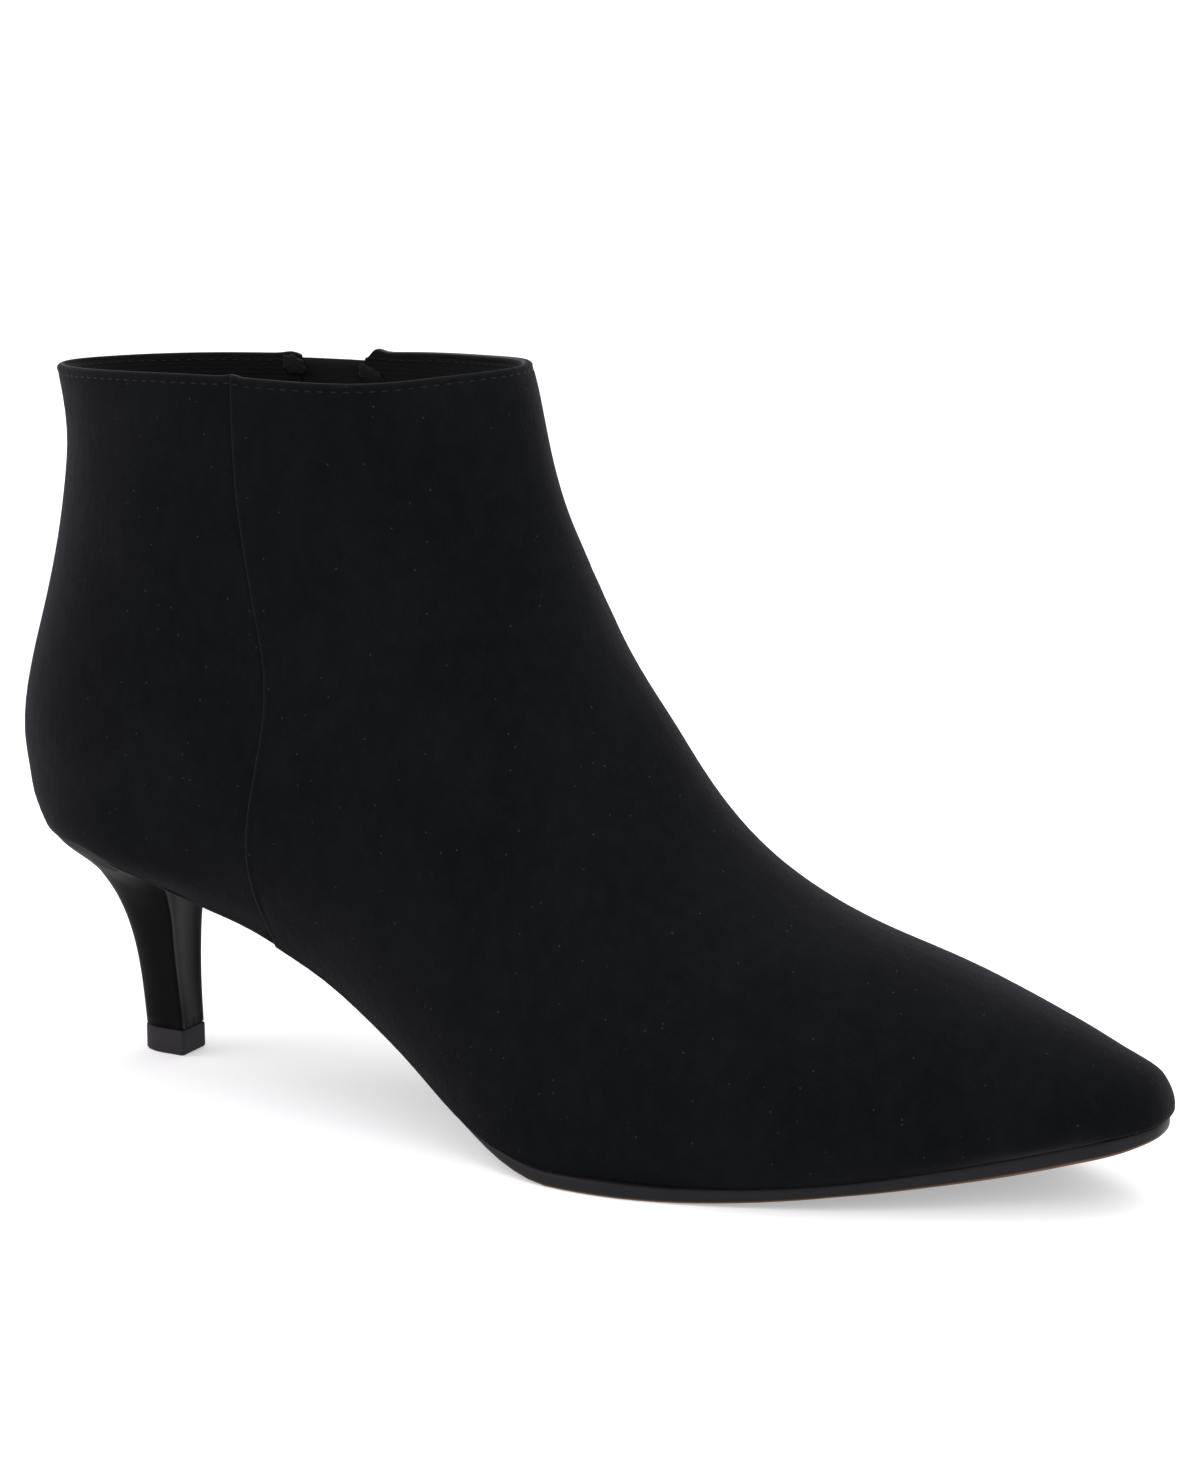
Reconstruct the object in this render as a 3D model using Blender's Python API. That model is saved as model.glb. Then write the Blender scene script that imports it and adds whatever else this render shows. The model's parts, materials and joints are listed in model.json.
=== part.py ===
"""Mid heel bootie, right shoe: a pointed suede ankle boot on a slim curved heel, with an inside zip.

Tables and sizes are in millimetres and become metres where a mesh is made.
+X points to the toe, +Y to the inner side of the foot and +Z up. While it is modelled, x is measured
from near the back of the heel seat; the last step centres the shoe on the origin, standing on z = 0.
"""
import math

import bmesh
import bpy
import numpy as np
from mathutils import Matrix, Vector
from mathutils.bvhtree import BVHTree

MM = 0.001
GAP = 0.3                    # clearance left where two pieces meet


def table(columns, *rows):
    """A short table as one array for each named column."""
    return dict(zip(columns.split(), np.array(rows, float).T))


# Driving sizes of the last
LENGTH = 244.0               # x of the toe's tip
SEAT_CENTRE = 24.0           # round back of the seat, seen from above
SEAT_RADIUS = 26.0
SEAT_BACK = SEAT_CENTRE - SEAT_RADIUS
SEAT_HEIGHT = 53.0           # top of the seat at its back, over the floor
SHANK_X = 49.0               # where the seat runs out into the arch
SHANK_HEIGHT = 40.5
SHANK_SLOPE = -0.12
TREAD_BACK = 137.0           # flat spot of the forefoot on the floor
TREAD_FRONT = 156.0
TOE_SPRING = 14.5
SPRING_POWER = 1.8
TOE_ROUND = 2.2              # exponent of the toe's rounded tip
SOLE_THICK = 3.0             # at the forefoot
WAIST_THICK = 2.2            # under the arch
THICKEN_FROM = 100.0         # the sole grows from one to the other between these
THICKEN_TO = 145.0
SEAT_RUN = LENGTH - SEAT_CENTRE + SEAT_RADIUS * math.pi / 2

# Feather line: half-widths of the sole's top edge on the outer and inner side of the foot
FEATHER = table(
    "x outer inner",
    (SEAT_CENTRE, 24.5, 24.0),
    (50, 23.0, 23.0),
    (78, 24.5, 20.5),
    (103, 30.0, 21.0),
    (125, 39.0, 26.5),
    (145, 41.0, 33.0),
    (166, 37.0, 36.0),
    (189, 30.0, 33.0),
    (211, 19.5, 24.0),
    (230, 10.0, 14.0),
)

# Back line of the counter and shaft: height over the seat and place along the shoe
BACK = table(
    "up x",
    (0, SEAT_BACK),
    (4, -5.0),
    (11, -6.5),
    (24, -5.2),
    (45, 0.6),
    (62, 4.4),
    (76, 6.1),
    (86, 5.6),
    (94, 3.2),
)

# Sections of the upper. Each lies in a slanted plane from a base point, found by its run along the
# sole from the toe and then up the back, to a front point on the toe, instep and collar line.
# outer and inner are its half-widths, level the share of its height where it is widest, dome the
# exponent of its crown, and steps the rows of the wall drawn from it to the next section.
SECTIONS = table(
    "run front_x front_z outer inner level dome steps",
    (LENGTH - FEATHER["x"][-1], LENGTH, TOE_SPRING + SOLE_THICK, 10.0, 14.0, 0.00, TOE_ROUND, 1),
    (15.5, 243.0, 20.3, 11.5, 15.0, 0.10, 2.20, 2),
    (21.0, 237.5, 25.5, 16.0, 18.0, 0.20, 2.10, 2),
    (38.0, 220.5, 32.8, 24.5, 27.5, 0.25, 2.00, 3),
    (60.0, 199.7, 40.0, 35.0, 36.0, 0.27, 1.95, 3),
    (85.0, 178.0, 46.7, 41.0, 39.0, 0.28, 1.95, 3),
    (115.0, 157.5, 58.7, 41.0, 35.5, 0.30, 1.95, 3),
    (148.0, 141.0, 76.7, 37.5, 33.5, 0.38, 1.95, 3),
    (183.0, 127.7, 95.8, 35.0, 34.0, 0.45, 2.00, 4),
    (218.0, 119.0, 114.3, 34.5, 33.5, 0.48, 2.00, 8),
    (SEAT_RUN, 113.6, 128.0, 34.5, 34.0, 0.47, 2.00, 6),
    (SEAT_RUN + 26, 111.2, 137.0, 34.0, 33.5, 0.47, 2.00, 4),
    (SEAT_RUN + 58, 109.3, 144.0, 33.5, 33.0, 0.48, 2.00, 3),
    (SEAT_RUN + 92.5, 107.5, 148.8, 33.0, 32.0, 0.50, 2.00, 0),
)
HALF_POINTS = 20             # points on each half of a section
ARC_SAMPLES = 40             # fine samples that a section's points are spaced along
RUN_WEIGHT = 0.5             # how much the run counts against the front when sections are spaced
FLARE_BACK = 0.85            # how steeply the wall leaves its foot: at the seat's back, ...
FLARE_FOOT = 0.3             # ... more with the foot's half-width ...
FLARE_FULL = 10.0            # ... until it is this wide
FLARE_ARCH = 0.6             # ... and more again from the seat into the arch
FLARE_FROM = 15.0
FLARE_TO = 70.0
FAIR_PASSES = 8              # smoothing of the counter where its sections turn up the back
FAIR_ROWS = 4.0
FAIR_COLUMNS = 6.0

# Wall of the upper: suede with its lining, and the front panel lapping over the back one
WALL = 2.0
BACK_FACE = -0.3             # outer faces of the back and front panels against the sections
FRONT_FACE = 0.3
LAP_ROOT = -1.1              # how deep the lapping panel is let into the wall
LAP_INSET = 0.3              # keeps the lap clear of the wall's rims
SEAM_Y = 33.0                # where both seam lines are measured, out from the centre line

# Outer side seam, as seen from the side
SEAM = table(
    "z x",
    (20, 68), (40, 63), (54, 63), (72, 67),
    (88, 69.5), (103, 67), (124, 63.5), (160, 62.5),
)

# Inside zip: its centre line as seen from the side, and its tape, teeth and slot
ZIP = table("z x", (20, 64), (60, 58), (90, 53), (120, 49), (160, 48))
ZIP_END = 60.0               # lowest point of the slot
SLOT_WIDTH = 15.0
TAPE_TOP = 145.0
TAPE_FACE = -1.1             # outer faces of the tape and of the teeth against the sections
TAPE_THICK = 0.8
CHAIN_WIDTH = 5.0
CHAIN_TOP = 142.5
CHAIN_BOTTOM = 64.0
CHAIN_FACE = 0.2
ROUND_START = 0.12           # first angle of a strip's round lower end
ROUND_LEVELS = 6
STRIP_LEVELS = 10
EDGE_COLUMNS = 3             # columns of the wall left out beside a strip's slab

# Reach of the cutters, well past the shoe
CUT_SIDE = 80.0
CUT_FRONT = 300.0
CUT_TOP = 165.0
CUT_BOTTOM = -20.0
CUT_STEP = 5.0
CUT_INSIDE = 6.0             # strips on the inner side start here, inside the shoe
RAY_START = 200.0

# Sole, insole, heel and top piece
SOLE_STEP = 0.9              # how far the forefoot's edge stands out past the upper
STEP_FROM = 95.0             # where the step starts, the length it grows over ...
STEP_RUN = 50.0
STEP_PAST = 10.0             # ... and how far past the toe it would have shrunk to nothing
INSOLE_THICK = 2.4
INSOLE_INSET = WALL - BACK_FACE + 0.6
INSOLE_SKIVE = 2.0           # bevel of the insole's upper edge
INSOLE_START = SEAT_BACK + 0.15  # just off the seat's back, where the outline turns
TIP_HEIGHT = 5.5
TIP_ROUND = 0.4
OUTLINE_POINTS = 34

# Sections of the heel from the top piece (0) to the seat (1): rounded back, slimmer flat breast
HEEL = table(
    "share back_x front_x half breast",
    (0.00, 17.8, 28.5, 3.9, 3.7),
    (0.26, 16.8, 27.8, 4.5, 4.2),
    (0.49, 14.9, 27.6, 5.6, 5.1),
    (0.68, 11.0, 27.8, 7.2, 6.2),
    (0.84, 5.8, 28.3, 10.6, 8.0),
    (0.94, 0.8, 28.9, 15.0, 13.0),
    (1.00, SEAT_BACK, 29.5, 24.3, 24.0),
)
HEEL_ROUND = 2.2             # exponent of the rounded back
HEEL_WIDEST = 0.6            # share of a section's length, from its back, where it is widest
HEEL_LEVELS = 16
HEEL_CROWD = 0.8             # below 1 the levels crowd towards the seat
HEEL_BLEND = 0.8             # share from which the heel turns into the seat's own outline
HEEL_POINTS = 9              # round half of the back, and on along the side to the breast
SIDE_POINTS = 4

# Rings of the sole's side, bottom to top: inset from its edge and share of its thickness
SOLE_SIDE = table(
    "inset share",
    (1.0, 0.00),
    (0.3, 0.12),
    (0.0, 0.35),
    (0.0, 0.80),
    (0.5, 1.00),
)

# Slider and pull tab, in the slider's own frame: x across the zip, y up along it, z out of the shoe
SLIDER_Z = 136.0             # height of the slider on the shoe
SLIDER_WIDTH = 7.0
SLIDER_LENGTH = 9.0
SLIDER_FOOT = CHAIN_FACE + GAP
SLIDER_THICK = 2.2
SLIDER_CORNER = 1.4
BRIDGE_WIDTH = 1.6
BRIDGE_LENGTH = 6.0
BRIDGE_HEIGHT = 2.4
BRIDGE_WALL = 0.8
BRIDGE_ROOT = 0.5            # how deep the bridge is set in the slider
SMALL_CORNER = 0.3           # cut corners of the bridge, pull and their windows
PIN_HEIGHT = SLIDER_FOOT + SLIDER_THICK + 0.85
PULL_THICK = 1.0
PULL_ARM = 1.5
PULL_WINDOW = 4.8            # from the pull's pin down to its plate
PULL_PLAY = 1.0              # room of the bridge in the pull's window
PULL_WIDTH = BRIDGE_WIDTH + PULL_PLAY + 2 * PULL_ARM
PULL_LENGTH = 24.0
SHARP_ANGLE = math.radians(35)


def spline(knots, values):
    """Natural cubic through the knots, as a function."""
    count = len(knots)
    gaps = np.diff(knots)
    matrix = np.eye(count)
    right = np.zeros(count)
    for i in range(1, count - 1):
        matrix[i, i - 1:i + 2] = gaps[i - 1], 2 * (gaps[i - 1] + gaps[i]), gaps[i]
        right[i] = 6 * ((values[i + 1] - values[i]) / gaps[i] - (values[i] - values[i - 1]) / gaps[i - 1])
    bend = np.linalg.solve(matrix, right)

    def read(at):
        at = np.asarray(at, float)
        i = np.clip(np.searchsorted(knots, at) - 1, 0, count - 2)
        t = (at - knots[i]) / gaps[i]
        s = 1 - t
        curve = gaps[i] ** 2 / 6 * ((s ** 3 - s) * bend[i] + (t ** 3 - t) * bend[i + 1])
        return s * values[i] + t * values[i + 1] + curve

    return read


feather_line = {-1: spline(FEATHER["x"], FEATHER["outer"]), 1: spline(FEATHER["x"], FEATHER["inner"])}
back_line = spline(BACK["up"], BACK["x"])
seam_line = spline(SEAM["z"], SEAM["x"])
zip_line = spline(ZIP["z"], ZIP["x"])


def sole_bottom(x):
    """Height of the sole's underside: seat, arch, flat tread and toe spring."""
    x = np.asarray(x, float)
    rise = SHANK_HEIGHT - WAIST_THICK
    seat_run = SHANK_X - SEAT_BACK
    seat_rest = SEAT_HEIGHT - WAIST_THICK - rise + SHANK_SLOPE * seat_run
    seat = rise - SHANK_SLOPE * (SHANK_X - x) + seat_rest * np.clip((SHANK_X - x) / seat_run, 0, 1) ** 2
    arch_run = TREAD_BACK - SHANK_X
    u = np.clip((TREAD_BACK - x) / arch_run, 0, 1)
    arch = rise * (3 * u ** 2 - 2 * u ** 3) - SHANK_SLOPE * arch_run * (u ** 3 - u ** 2)
    spring = TOE_SPRING * np.clip((x - TREAD_FRONT) / (LENGTH - TREAD_FRONT), 0, 1) ** SPRING_POWER
    return np.where(x < SHANK_X, seat, np.where(x < TREAD_BACK, arch, spring))


def sole_thickness(x):
    """Thin under the arch, thicker from the joints of the foot forward."""
    t = np.clip((np.asarray(x, float) - THICKEN_FROM) / (THICKEN_TO - THICKEN_FROM), 0, 1)
    return WAIST_THICK + (SOLE_THICK - WAIST_THICK) * t * t * (3 - 2 * t)


def sole_top(x):
    return sole_bottom(x) + sole_thickness(x)


def feather(x, side):
    """Half-width of the feather line on one side, closed at the seat's back and the toe's tip."""
    x = np.asarray(x, float)
    last = FEATHER["x"][-1]
    width = feather_line[side](np.clip(x, SEAT_CENTRE, last))
    seat = np.sqrt(1 - np.clip((SEAT_CENTRE - x) / SEAT_RADIUS, 0, 1) ** 2)
    toe = (1 - np.clip((x - last) / (LENGTH - last), 0, 1) ** TOE_ROUND) ** (1 / TOE_ROUND)
    return width * seat * toe


def base_point(run):
    """Lower end of a section: (x, z) and whether it is on the sole or up the back."""
    turn = (run - (LENGTH - SEAT_CENTRE)) / SEAT_RADIUS
    if run > SEAT_RUN:
        up = run - SEAT_RUN
        return float(back_line(up)), SEAT_HEIGHT + up, False
    x = LENGTH - run if turn < 0 else SEAT_CENTRE - SEAT_RADIUS * math.sin(turn)
    return x, float(sole_top(x)), True


def section_points(row, half_points):
    """Points of one section, from its base over the outer side to the front and down the inner side."""
    run, front_x, front_z, outer, inner, level, dome = row
    base_x, base_z, on_sole = base_point(run)
    turn = np.linspace(0, math.pi / 2, ARC_SAMPLES)
    halves = []
    for side, half_width in ((-1, outer), (1, inner)):
        foot = float(feather(base_x, side)) if on_sole else 0.0
        half_width = max(half_width, foot)
        arch = np.clip((base_x - FLARE_FROM) / (FLARE_TO - FLARE_FROM), 0, 1)
        shaft = np.clip((run - SEAT_RUN) / (SECTIONS["run"][-1] - SEAT_RUN), 0, 1)
        flare = FLARE_BACK + FLARE_FOOT * np.clip(foot / FLARE_FULL, 0, 1)
        flare += FLARE_ARCH * arch + (1 - FLARE_BACK) * shaft
        low_share = level * (1 - np.cos(turn))
        low_y = foot + (half_width - foot) * np.sin(turn) ** flare
        top_share = level + (1 - level) * np.sin(turn) ** (2 / dome)
        top_y = half_width * np.maximum(np.cos(turn), 0) ** (2 / dome)
        share = np.concatenate([low_share, top_share[1:]])
        y = side * np.concatenate([low_y, top_y[1:]])
        x, z = base_x + (front_x - base_x) * share, base_z + (front_z - base_z) * share
        points = np.stack([x, y, z], 1)
        length = np.concatenate([[0], np.cumsum(np.linalg.norm(np.diff(points, axis=0), axis=1))])
        even = np.linspace(0, length[-1], half_points + 1)
        halves.append(np.stack([np.interp(even, length, points[:, axis]) for axis in range(3)], 1))
    return np.concatenate([halves[0], halves[1][-2::-1]])


def fair(grid, seat_row):
    """Ease the crease that the sections leave where they turn from the seat up the back."""
    rows, columns = grid.shape[:2]
    near_row = np.exp(-((np.arange(rows) - seat_row) / FAIR_ROWS) ** 2)[1:-1]
    from_edge = np.minimum(np.arange(columns), columns - 1 - np.arange(columns))
    weight = np.outer(near_row, np.clip(from_edge / FAIR_COLUMNS, 0, 1))[..., None] / 2
    for _ in range(FAIR_PASSES):
        grid[1:-1] += weight * ((grid[:-2] + grid[2:]) / 2 - grid[1:-1])


def upper_grid():
    """Points on the outside of the upper, a row for each section, their normals and the ring rows."""
    columns = [values for name, values in SECTIONS.items() if name != "steps"]
    front_gap = np.hypot(np.diff(SECTIONS["front_x"]), np.diff(SECTIONS["front_z"]))
    knots = np.concatenate([[0], np.cumsum(front_gap + RUN_WEIGHT * np.diff(SECTIONS["run"]))])
    places = [0.0]
    for start, end, steps in zip(knots[:-1], knots[1:], SECTIONS["steps"]):
        places.extend(np.linspace(start, end, int(steps) + 1)[1:])
    rows = np.stack([spline(knots, column)(places) for column in columns], 1)
    grid = np.stack([section_points(row, HALF_POINTS) for row in rows])
    ring = rows[:, 0] > SEAT_RUN - GAP / 2
    fair(grid, int(np.argmax(ring)))
    along = np.gradient(grid, axis=0)
    around = np.gradient(grid, axis=1)
    around[ring, 0] = around[ring, -1] = (grid[ring, 1] - grid[ring, -2]) / 2
    along[ring, 0] = along[ring, -1] = (along[ring, 0] + along[ring, -1]) / 2
    normal = np.cross(around, along)
    normal /= np.linalg.norm(normal, axis=2, keepdims=True)
    return grid, normal, ring


GRID, NORMAL, RING = upper_grid()
SEAT_ROW = int(np.argmax(RING))


def skin(distance, lift, drop):
    """The upper's surface moved out by a distance; its lower rim stays level on the sole."""
    rim = np.zeros(RING.shape + (GRID.shape[1],), bool)
    rim[0] = True
    rim[:SEAT_ROW + 1, [0, -1]] = True
    direction = NORMAL.copy()
    direction[rim, 2] = 0
    direction /= np.linalg.norm(direction, axis=2, keepdims=True)
    points = GRID + distance * direction
    points[rim, 2] = sole_top(points[rim, 0]) + lift
    points[-1, :, 2] -= drop
    return points


root = None


def new_object(name, points, faces, finish=None):
    """One mesh object from points in millimetres, faces out; without a finish it is a hidden cutter."""
    mesh = bpy.data.meshes.new(name)
    mesh.from_pydata((np.asarray(points) * MM).tolist(), [], faces)
    shape = bmesh.new()
    shape.from_mesh(mesh)
    bmesh.ops.delete(shape, geom=[v for v in shape.verts if not v.link_faces], context="VERTS")
    bmesh.ops.recalc_face_normals(shape, faces=shape.faces)
    shape.to_mesh(mesh)
    shape.free()
    made = bpy.data.objects.new(name, mesh)
    bpy.context.collection.objects.link(made)
    made.parent = root
    if finish is None:
        made.hide_render = True
        made.display_type = "WIRE"
    else:
        mesh.materials.append(finish)
        mesh.shade_smooth()
        mesh.set_sharp_from_angle(angle=SHARP_ANGLE)
    return made


def combine(target, other, operation):
    """Exact Boolean of another object on this one."""
    modifier = target.modifiers.new(f"{operation.lower()} {other.name}", "BOOLEAN")
    modifier.object = other
    modifier.operation = operation
    modifier.solver = "EXACT"


def finish_of(name, colour, roughness, metallic=0.0):
    """Plain Principled finish."""
    made = bpy.data.materials.new(name)
    made.use_nodes = True
    shader = made.node_tree.nodes["Principled BSDF"]
    shader.inputs["Base Color"].default_value = (*colour, 1)
    shader.inputs["Roughness"].default_value = roughness
    shader.inputs["Metallic"].default_value = metallic
    return made


def shell(name, inside, outside, lift, drop, finish=None):
    """Hollow form between two skins of the upper, open at the collar and along the sole."""
    rows, columns = GRID.shape[:2]
    points = np.concatenate([skin(face, lift, drop).reshape(-1, 3) for face in (outside, inside)])

    def at(layer, row, column):
        if RING[row] and column == columns - 1:
            column = 0
        return (layer * rows + row) * columns + column

    faces = []
    for layer in (0, 1):
        for row in range(rows - 1):
            for column in range(columns - 1):
                corners = [at(layer, row, column), at(layer, row, column + 1)]
                corners += [at(layer, row + 1, column + 1), at(layer, row + 1, column)]
                faces.append(list(dict.fromkeys(corners)))
    foot = [(row, 0) for row in range(SEAT_ROW, 0, -1)] + [(0, column) for column in range(columns)]
    foot += [(row, columns - 1) for row in range(1, SEAT_ROW + 1)]
    collar = [(rows - 1, column) for column in range(columns)]
    for rim in (foot, collar):
        for first, second in zip(rim[:-1], rim[1:]):
            faces.append([at(0, *first), at(0, *second), at(1, *second), at(1, *first)])
    return new_object(name, points, faces, finish)


def side_band(name, levels, left, right, lean, near_y):
    """Cutter across the shoe between two edges given at each level; lean slides it with y."""
    points = []
    for y in (near_y, CUT_SIDE):
        for z, x_left, x_right, slide in zip(levels, left, right, lean):
            points.append((x_left + slide * y, y, z))
            points.append((x_right + slide * y, y, z))
    count = len(levels)
    faces = []
    for i in range(count - 1):
        a, b = 2 * i, 2 * (count + i)
        faces += [[a, a + 1, a + 3, a + 2], [b, b + 1, b + 3, b + 2]]
        faces += [[a, a + 2, b + 2, b], [a + 1, a + 3, b + 3, b + 1]]
    last = 2 * (count - 1)
    ends = 2 * count
    faces += [[0, 1, ends + 1, ends], [last, last + 1, ends + last + 1, ends + last]]
    return new_object(name, points, faces)


def zip_band(name, width, bottom, top):
    """Cutter along the zip's centre line on the inner side, with a round lower end."""
    half = width / 2
    end_levels = bottom + half * (1 - np.cos(np.linspace(ROUND_START, math.pi / 2, ROUND_LEVELS)))
    levels = np.concatenate([end_levels, np.linspace(bottom + half, top, STRIP_LEVELS)[1:]])
    reach = half * np.sqrt(1 - np.clip((bottom + half - levels) / half, 0, 1) ** 2)
    middle = zip_line(levels)
    return side_band(name, levels, middle - reach, middle + reach, np.zeros_like(levels), CUT_INSIDE)


def slab(name, inside, outside, finish):
    """Closed slab that follows the upper's inner side, later cut to a strip."""
    rows = [i for i in range(len(RING)) if i > SEAT_ROW // 3]
    columns = list(range(HALF_POINTS + EDGE_COLUMNS, GRID.shape[1] - EDGE_COLUMNS + 1))
    width = len(columns)
    size = len(rows) * width
    layers = [skin(face, GAP, 0.0)[np.ix_(rows, columns)].reshape(-1, 3) for face in (outside, inside)]
    faces = []
    for i in range(len(rows) - 1):
        for j in range(width - 1):
            a = i * width + j
            quad = [a, a + 1, a + width + 1, a + width]
            faces += [quad, [v + size for v in quad]]
    edge = list(range(width)) + [i * width + width - 1 for i in range(1, len(rows))]
    edge += list(range(size - 2, size - width - 1, -1))
    edge += [i * width for i in range(len(rows) - 2, -1, -1)]
    faces += [[a, b, b + size, a + size] for a, b in zip(edge[:-1], edge[1:])]
    return new_object(name, np.concatenate(layers), faces, finish)


def stack(name, rings, finish):
    """Solid through rings of equal count: each has its tip first, then one side out and the other back."""
    count = len(rings[0])
    half = (count - 1) // 2
    faces = []
    for i in range(len(rings) - 1):
        for j in range(count):
            a, b = i * count + j, i * count + (j + 1) % count
            faces.append([a, b, b + count, a + count])
    for start in (0, (len(rings) - 1) * count):
        faces.append([start, start + 1, start + count - 1])
        for j in range(1, half):
            faces.append([start + j, start + j + 1, start + count - j - 1, start + count - j])
    return new_object(name, np.concatenate(rings), faces, finish)


def sole_outline(start_x, outset):
    """Feather line from the toe's tip back to start_x, moved out by outset(x): tip, outer, inner side."""
    share = (1 - np.cos(np.linspace(0, math.pi, OUTLINE_POINTS))) / 2
    x = np.union1d(start_x + (LENGTH - start_x) * share, [TREAD_BACK, TREAD_FRONT])[::-1]
    sides = []
    for side in (-1, 1):
        line = np.stack([x, side * feather(x, side)], 1)
        tangent = np.gradient(line, axis=0)
        tangent[0] = (0, side)
        normal = side * np.stack([tangent[:, 1], -tangent[:, 0]], 1)
        normal /= np.linalg.norm(normal, axis=1, keepdims=True)
        normal[-1] *= 1 if start_x < SEAT_CENTRE else (0, 1)
        sides.append(line + normal * outset(x)[:, None])
    return np.concatenate([sides[0], sides[1][:0:-1]])


def heel_ring(share, inset=0.0):
    """Plan of the heel at a share of its height: back point, outer side, inner side."""
    back, front, half, breast = (float(spline(HEEL["share"], HEEL[n])(share)) for n in list(HEEL)[1:])
    back, front, half, breast = back + inset, front - inset, half - inset, breast - inset
    widest = back + HEEL_WIDEST * (front - back)
    turn = np.linspace(math.pi / 2, 0, HEEL_POINTS)
    ahead = np.linspace(0, 1, SIDE_POINTS + 1)[1:]
    behind = np.sin(turn) ** (2 / HEEL_ROUND)
    across = np.maximum(np.cos(turn), 0) ** (2 / HEEL_ROUND)
    x = np.append(widest - (widest - back) * behind, widest + (front - widest) * ahead)
    y = np.append(half * across, half + (breast - half) * ahead ** 2)
    blend = max(share - HEEL_BLEND, 0) / (1 - HEEL_BLEND)
    sides = [np.stack([x, side * (y + blend ** 2 * (feather(x, side) - y))], 1) for side in (-1, 1)]
    return np.concatenate([sides[0], sides[1][:0:-1]])


def at_height(plan, z):
    """Plan points with their heights."""
    return np.column_stack([plan, np.broadcast_to(z, len(plan))])


def make_upper(finish):
    """Lasted suede upper: one hollow wall, the front panel lapping the back one, and the zip's slot."""
    upper = shell("upper", BACK_FACE - WALL, BACK_FACE, GAP, 0.0, finish)
    lap = shell("lap_form", LAP_ROOT, FRONT_FACE, GAP + LAP_INSET, LAP_INSET)
    levels = np.append(CUT_BOTTOM, np.arange(SEAM["z"][0], SEAM["z"][-1], CUT_STEP))
    read_at = np.maximum(levels, SEAM["z"][0])
    outer, inner = seam_line(read_at), zip_line(read_at)
    lean = (inner - outer) / (2 * SEAM_Y)
    middle = (inner + outer) / 2
    far = np.full_like(middle, CUT_FRONT)
    combine(lap, side_band("front_panel_cut", levels, middle, far, lean, -CUT_SIDE), "INTERSECT")
    combine(upper, lap, "UNION")
    combine(upper, zip_band("zip_slot_cut", SLOT_WIDTH, ZIP_END, CUT_TOP), "DIFFERENCE")


def make_zip(tape_finish, chain_finish):
    """Tape let into the slot and the closed teeth on it, both bent as the wall is."""
    tape = slab("zip_tape", TAPE_FACE - TAPE_THICK, TAPE_FACE, tape_finish)
    combine(tape, zip_band("tape_cut", SLOT_WIDTH - 2 * GAP, ZIP_END + GAP, TAPE_TOP), "INTERSECT")
    chain = slab("zip_chain", TAPE_FACE + GAP, CHAIN_FACE, chain_finish)
    combine(chain, zip_band("chain_cut", CHAIN_WIDTH, CHAIN_BOTTOM, CHAIN_TOP), "INTERSECT")


def make_outsole(finish):
    """Sole from the heel's breast to the toe, stepped out round the forefoot, flat on its tread."""
    breast = HEEL["front_x"][-1] + GAP

    def step(x):
        return SOLE_STEP * np.clip(np.minimum(x - STEP_FROM, LENGTH + STEP_PAST - x) / STEP_RUN, 0, 1)

    rings = []
    for inset, share in zip(SOLE_SIDE["inset"], SOLE_SIDE["share"]):
        plan = sole_outline(breast, lambda x, inset=inset: step(x) - inset)
        x = plan[:, 0]
        rings.append(at_height(plan, sole_bottom(x) + share * sole_thickness(x)))
    stack("outsole", rings, finish)


def make_insole(finish):
    """Insole board with its sock, inside the wall's foot, its upper edge skived."""
    rings = []
    for inset, rise in ((INSOLE_INSET, GAP), (INSOLE_INSET + INSOLE_SKIVE, GAP + INSOLE_THICK)):
        plan = sole_outline(INSOLE_START, lambda x, inset=inset: np.full_like(x, -inset))
        rings.append(at_height(plan, sole_top(plan[:, 0]) + rise))
    stack("insole", rings, finish)


def make_heel(heel_finish, tip_finish):
    """Wrapped heel with a flat breast, flaring up to the seat, and the top piece under it."""
    foot = TIP_HEIGHT + GAP
    rings = []
    for share in np.linspace(0, 1, HEEL_LEVELS) ** HEEL_CROWD:
        plan = heel_ring(share)
        rings.append(at_height(plan, foot + share * (sole_top(plan[:, 0]) - foot)))
    stack("heel", rings, heel_finish)
    levels = ((0.0, TIP_ROUND), (TIP_ROUND, 0.0), (TIP_HEIGHT, 0.0))
    stack("heel_tip", [at_height(heel_ring(0.0, inset), z) for z, inset in levels], tip_finish)


def wall_frame(z):
    """Place and directions of the zip at a height: across to the toe, up along the zip, out of the wall."""
    rows, columns = GRID.shape[:2]
    faces = [(r * columns + c, r * columns + c + 1, (r + 1) * columns + c + 1, (r + 1) * columns + c)
             for r in range(rows - 1) for c in range(columns - 1)]
    tree = BVHTree.FromPolygons(GRID.reshape(-1, 3).tolist(), faces)

    def hit(height, ahead=0.0):
        start = Vector((float(zip_line(height)) + ahead, RAY_START, height))
        return tree.ray_cast(start, Vector((0, -1, 0)))[0]

    span, reach = SLIDER_LENGTH / 2, SLIDER_WIDTH / 2
    here = hit(z)
    up = (hit(z + span) - hit(z - span)).normalized()
    out = up.cross(hit(z, reach) - hit(z, -reach)).normalized()
    across = up.cross(out).normalized()
    turn = Matrix((across, up, out)).transposed().to_4x4()
    return here, turn, out


def plate(name, outline, low, high, finish=None):
    """Flat piece: an outline in x and y between two heights."""
    count = len(outline)
    points = [(x, y, low) for x, y in outline] + [(x, y, high) for x, y in outline]
    faces = [list(range(count)), list(range(count, 2 * count))]
    faces += [[i, (i + 1) % count, (i + 1) % count + count, i + count] for i in range(count)]
    return new_object(name, points, faces, finish)


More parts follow.
